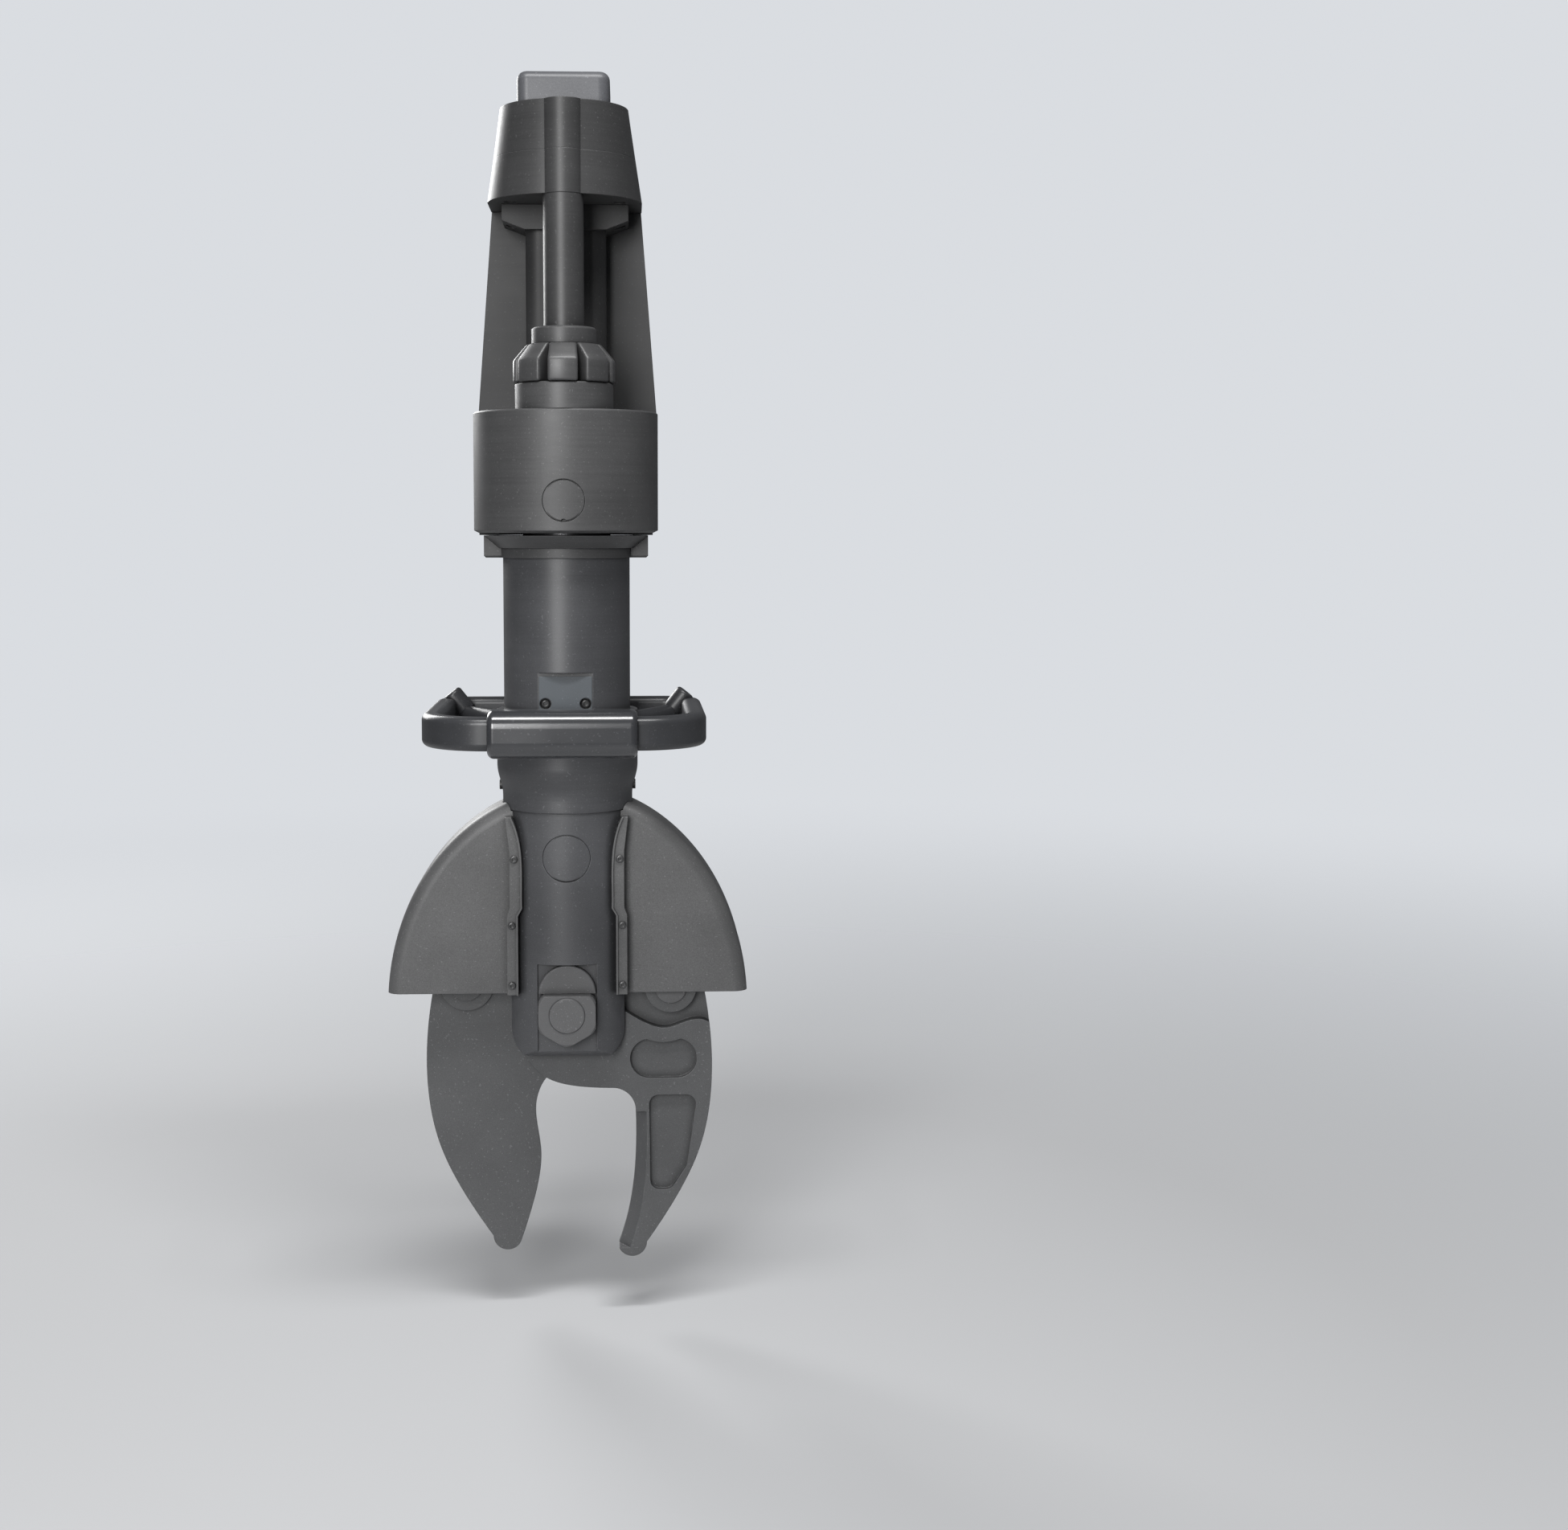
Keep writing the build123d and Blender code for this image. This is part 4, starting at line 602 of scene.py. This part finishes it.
class CUTTER_OT_star(bpy.types.Operator):
    """Make the star-shaped control grip from one lobe, repeated round its hub"""

    bl_idname = "cutter.star"
    bl_label = "Star Grip"

    def execute(self, context):
        shape = settings("star")
        low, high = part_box("star_grip")
        centre = (low + high) / 2
        rim = (high.y - low.y) / 2
        tall = (high.z - low.z) / 2
        printed = finish("printed_star", settings("finish").case, 0.42, layers=0.1, grain=0.25, wear=0.35)
        lobe = lobe_mesh(shape, -tall, tall, rim)
        turns = [2 * pi * step / shape.lobes for step in range(shape.lobes)]
        lobes = placed("star_lobes", lobe, [(centre, (0.0, 0.0, turn)) for turn in turns], printed)
        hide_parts("star_grip")
        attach(lobes, "star")

        edge = rim - shape.groove_depth - 0.0015
        brim = 0.0006
        foot = ((shape.bore, -tall), (edge, -tall))
        profile = (*foot, (edge, tall - brim), (edge - brim, tall), (shape.bore, tall))
        data = lathe("star_hub", profile, 96)
        data.transform(Matrix.Translation(centre))
        smoothed(data)
        data.materials.append(printed)
        hub = linked("star_hub", data)
        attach(hub, "star")
        return {"FINISHED"}


def screw_mesh(shape, radius, head, reach):
    """A button-head screw along Z: its head's underside at zero and its shank below."""
    dome = [(radius * cos(pi / 2 * step / 6), head * (1 - shape.dome + shape.dome * sin(pi / 2 * step / 6)))
            for step in range(7)]
    crown = [(wide, tall) for wide, tall in dome if wide > radius * shape.socket]
    brim = radius * shape.socket
    floor = head * 0.45
    profile = [(radius, 0.0), *crown, (brim, head), (brim * 0.98, floor), (0.0, floor), (0.0, -reach),
               (radius * 0.6, -reach), (radius * 0.6, 0.0)]
    return lathe("screw", profile, 6 * 6)


class CUTTER_OT_screws(bpy.types.Operator):
    """Set a button-head screw in each seat of the guards, the label plate and the spine"""

    bl_idname = "cutter.screws"
    bl_label = "Screws"

    def execute(self, context):
        shape = settings("screw")
        tint = tuple(0.55 * part for part in settings("finish").fastener)
        oxide = finish("screw_black", tint, 0.30, grain=0.2, wear=0.7, specular=0.7)
        heads = {"guard_screws": 0.0018, "spine_screws": 0.0040, "label_screws": 0.0025}
        for node, body_head in heads.items():
            places = []
            for low, high in islands(node):
                middle = (low + high) / 2
                to_front = node == "label_screws" or (node == "guard_screws" and middle.y < TOOL_AXIS_Y)
                face = low.y + body_head if to_front else high.y - body_head
                turn = pi / 2 if to_front else -pi / 2
                places.append((Vector((middle.x, face, middle.z)), (turn, 0.0, 0.0)))
            low, high = islands(node)[0]
            radius = (high.x - low.x) / 2
            reach = max(0.0005, (high.y - low.y) - body_head)
            screws = placed(f"{node}_finished", screw_mesh(shape, radius, body_head, reach), places, oxide)
            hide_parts(node)
            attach(screws, "housing")
        return {"FINISHED"}


# ---- studio -------------------------------------------------------------------------

def area_light(name, place, aim, size, power):
    """A soft rectangular light that looks at a point."""
    lamp = bpy.data.lights.new(name, "AREA")
    lamp.shape = "RECTANGLE"
    lamp.size, lamp.size_y = size
    lamp.energy = power
    light = linked(name, lamp)
    light.location = place
    light.rotation_euler = (Vector(aim) - Vector(place)).to_track_quat("-Z", "Y").to_euler()


def studio_world(look):
    """Pale surroundings to look at, and a dimmer light from all round."""
    world = bpy.data.worlds.new("studio_surround")
    world.use_nodes = True
    tree = world.node_tree
    background = tree.nodes["Background"]
    path = tree.nodes.new("ShaderNodeLightPath")
    strength = tree.nodes.new("ShaderNodeMapRange")
    strength.inputs["To Min"].default_value = look.ambient
    strength.inputs["To Max"].default_value = 1.0
    tree.links.new(path.outputs["Is Camera Ray"], strength.inputs["Value"])
    tree.links.new(strength.outputs["Result"], background.inputs["Strength"])
    background.inputs["Color"].default_value = (*look.surround, 1.0)
    return world


def floor_paint(look):
    """A matt floor that fades out towards its rim."""
    paint = bpy.data.materials.new("studio_floor_paint")
    paint.use_nodes = True
    tree = paint.node_tree
    shader = tree.nodes["Principled BSDF"]
    shader.inputs["Roughness"].default_value = 0.9
    shader.inputs["Specular IOR Level"].default_value = 0.2
    shade = tuple(0.97 * part for part in look.floor)
    cloud = ranged(tree, noise(tree, (1, 1, 1), 0.8, 2.0), 0.3, 0.7, 0.0, 1.0)
    tree.links.new(blended(tree, cloud, shade, tuple(look.floor)), shader.inputs["Base Color"])
    coords = tree.nodes.new("ShaderNodeTexCoord")
    reach = tree.nodes.new("ShaderNodeVectorMath")
    reach.operation = "LENGTH"
    tree.links.new(coords.outputs["Object"], reach.inputs[0])
    fade = ranged(tree, reach.outputs["Value"], 0.7, 3.4, 1.0, 0.0)
    fade = worked(tree, "MULTIPLY", fade, fade)
    tree.links.new(fade, shader.inputs["Alpha"])
    return paint


class CUTTER_OT_studio(bpy.types.Operator):
    """Lay the floor and set the lights and the camera"""

    bl_idname = "cutter.studio"
    bl_label = "Studio"

    def execute(self, context):
        look = settings("studio")
        low, high = CAD_BOX
        middle_y = (low[1] + high[1]) / 2
        eye_z = low[2] + look.eye
        bpy.ops.mesh.primitive_circle_add(
            vertices=96, radius=3.5, fill_type="NGON", location=(0, middle_y, low[2] - look.gap)
        )
        floor = context.object
        floor.name = "studio_floor"
        floor.data.materials.append(floor_paint(look))
        context.scene.world = studio_world(look)
        context.scene.view_settings.view_transform = "Standard"

        aim = (0, middle_y, eye_z)
        area_light("key_light", (-0.75, middle_y - 2.9, eye_z + 0.55), aim, (1.0, 1.6), look.key)
        area_light("strip_light", (0.1, middle_y - 0.9, eye_z + 1.8), aim, (1.7, 0.3), look.strip)
        area_light("rear_light", (-1.4, middle_y + 2.4, eye_z + 0.9), aim, (1.2, 1.2), look.rear)

        lens = bpy.data.cameras.new("camera")
        lens.sensor_width = 36.0
        lens.lens = look.lens
        lens.shift_x = 0.043
        lens.shift_y = -0.045
        camera = linked("camera", lens)
        camera.location = (0.049, TOOL_AXIS_Y - look.distance, eye_z)
        camera.rotation_euler = (radians(90 - 4.6), 0, radians(-2.45))
        context.scene.camera = camera
        return {"FINISHED"}


# ---- add-on -------------------------------------------------------------------------

class CUTTER_PT_panel(bpy.types.Panel):
    """Buttons for each group of pieces"""

    bl_idname = "CUTTER_PT_panel"
    bl_label = "Rescue Cutter"
    bl_space_type = "VIEW_3D"
    bl_region_type = "UI"
    bl_category = "Cutter"

    def draw(self, context):
        for operator in OPERATORS:
            self.layout.operator(operator.bl_idname)


GROUPS = {
    "finish": FinishSettings,
    "star": StarSettings,
    "screw": ScrewSettings,
    "studio": StudioSettings,
}
OPERATORS = (
    CUTTER_OT_head,
    CUTTER_OT_battery,
    CUTTER_OT_cylinder,
    CUTTER_OT_guards,
    CUTTER_OT_blades,
    CUTTER_OT_handle,
    CUTTER_OT_fasteners,
    CUTTER_OT_inside,
    CUTTER_OT_star,
    CUTTER_OT_screws,
    CUTTER_OT_studio,
)
CLASSES = (*GROUPS.values(), *OPERATORS, CUTTER_PT_panel)


def register():
    """Registers the classes and their settings."""
    for item in CLASSES:
        bpy.utils.register_class(item)
    for name, group in GROUPS.items():
        setattr(bpy.types.Scene, f"cutter_{name}", PointerProperty(type=group))


def unregister():
    """Takes the settings and the classes away again."""
    for name in GROUPS:
        delattr(bpy.types.Scene, f"cutter_{name}")
    for item in reversed(CLASSES):
        bpy.utils.unregister_class(item)


def main():
    """Runs each operator in turn."""
    register()
    for operator in OPERATORS:
        group, name = operator.bl_idname.split(".")
        getattr(getattr(bpy.ops, group), name)()


if __name__ == "__main__":
    main()
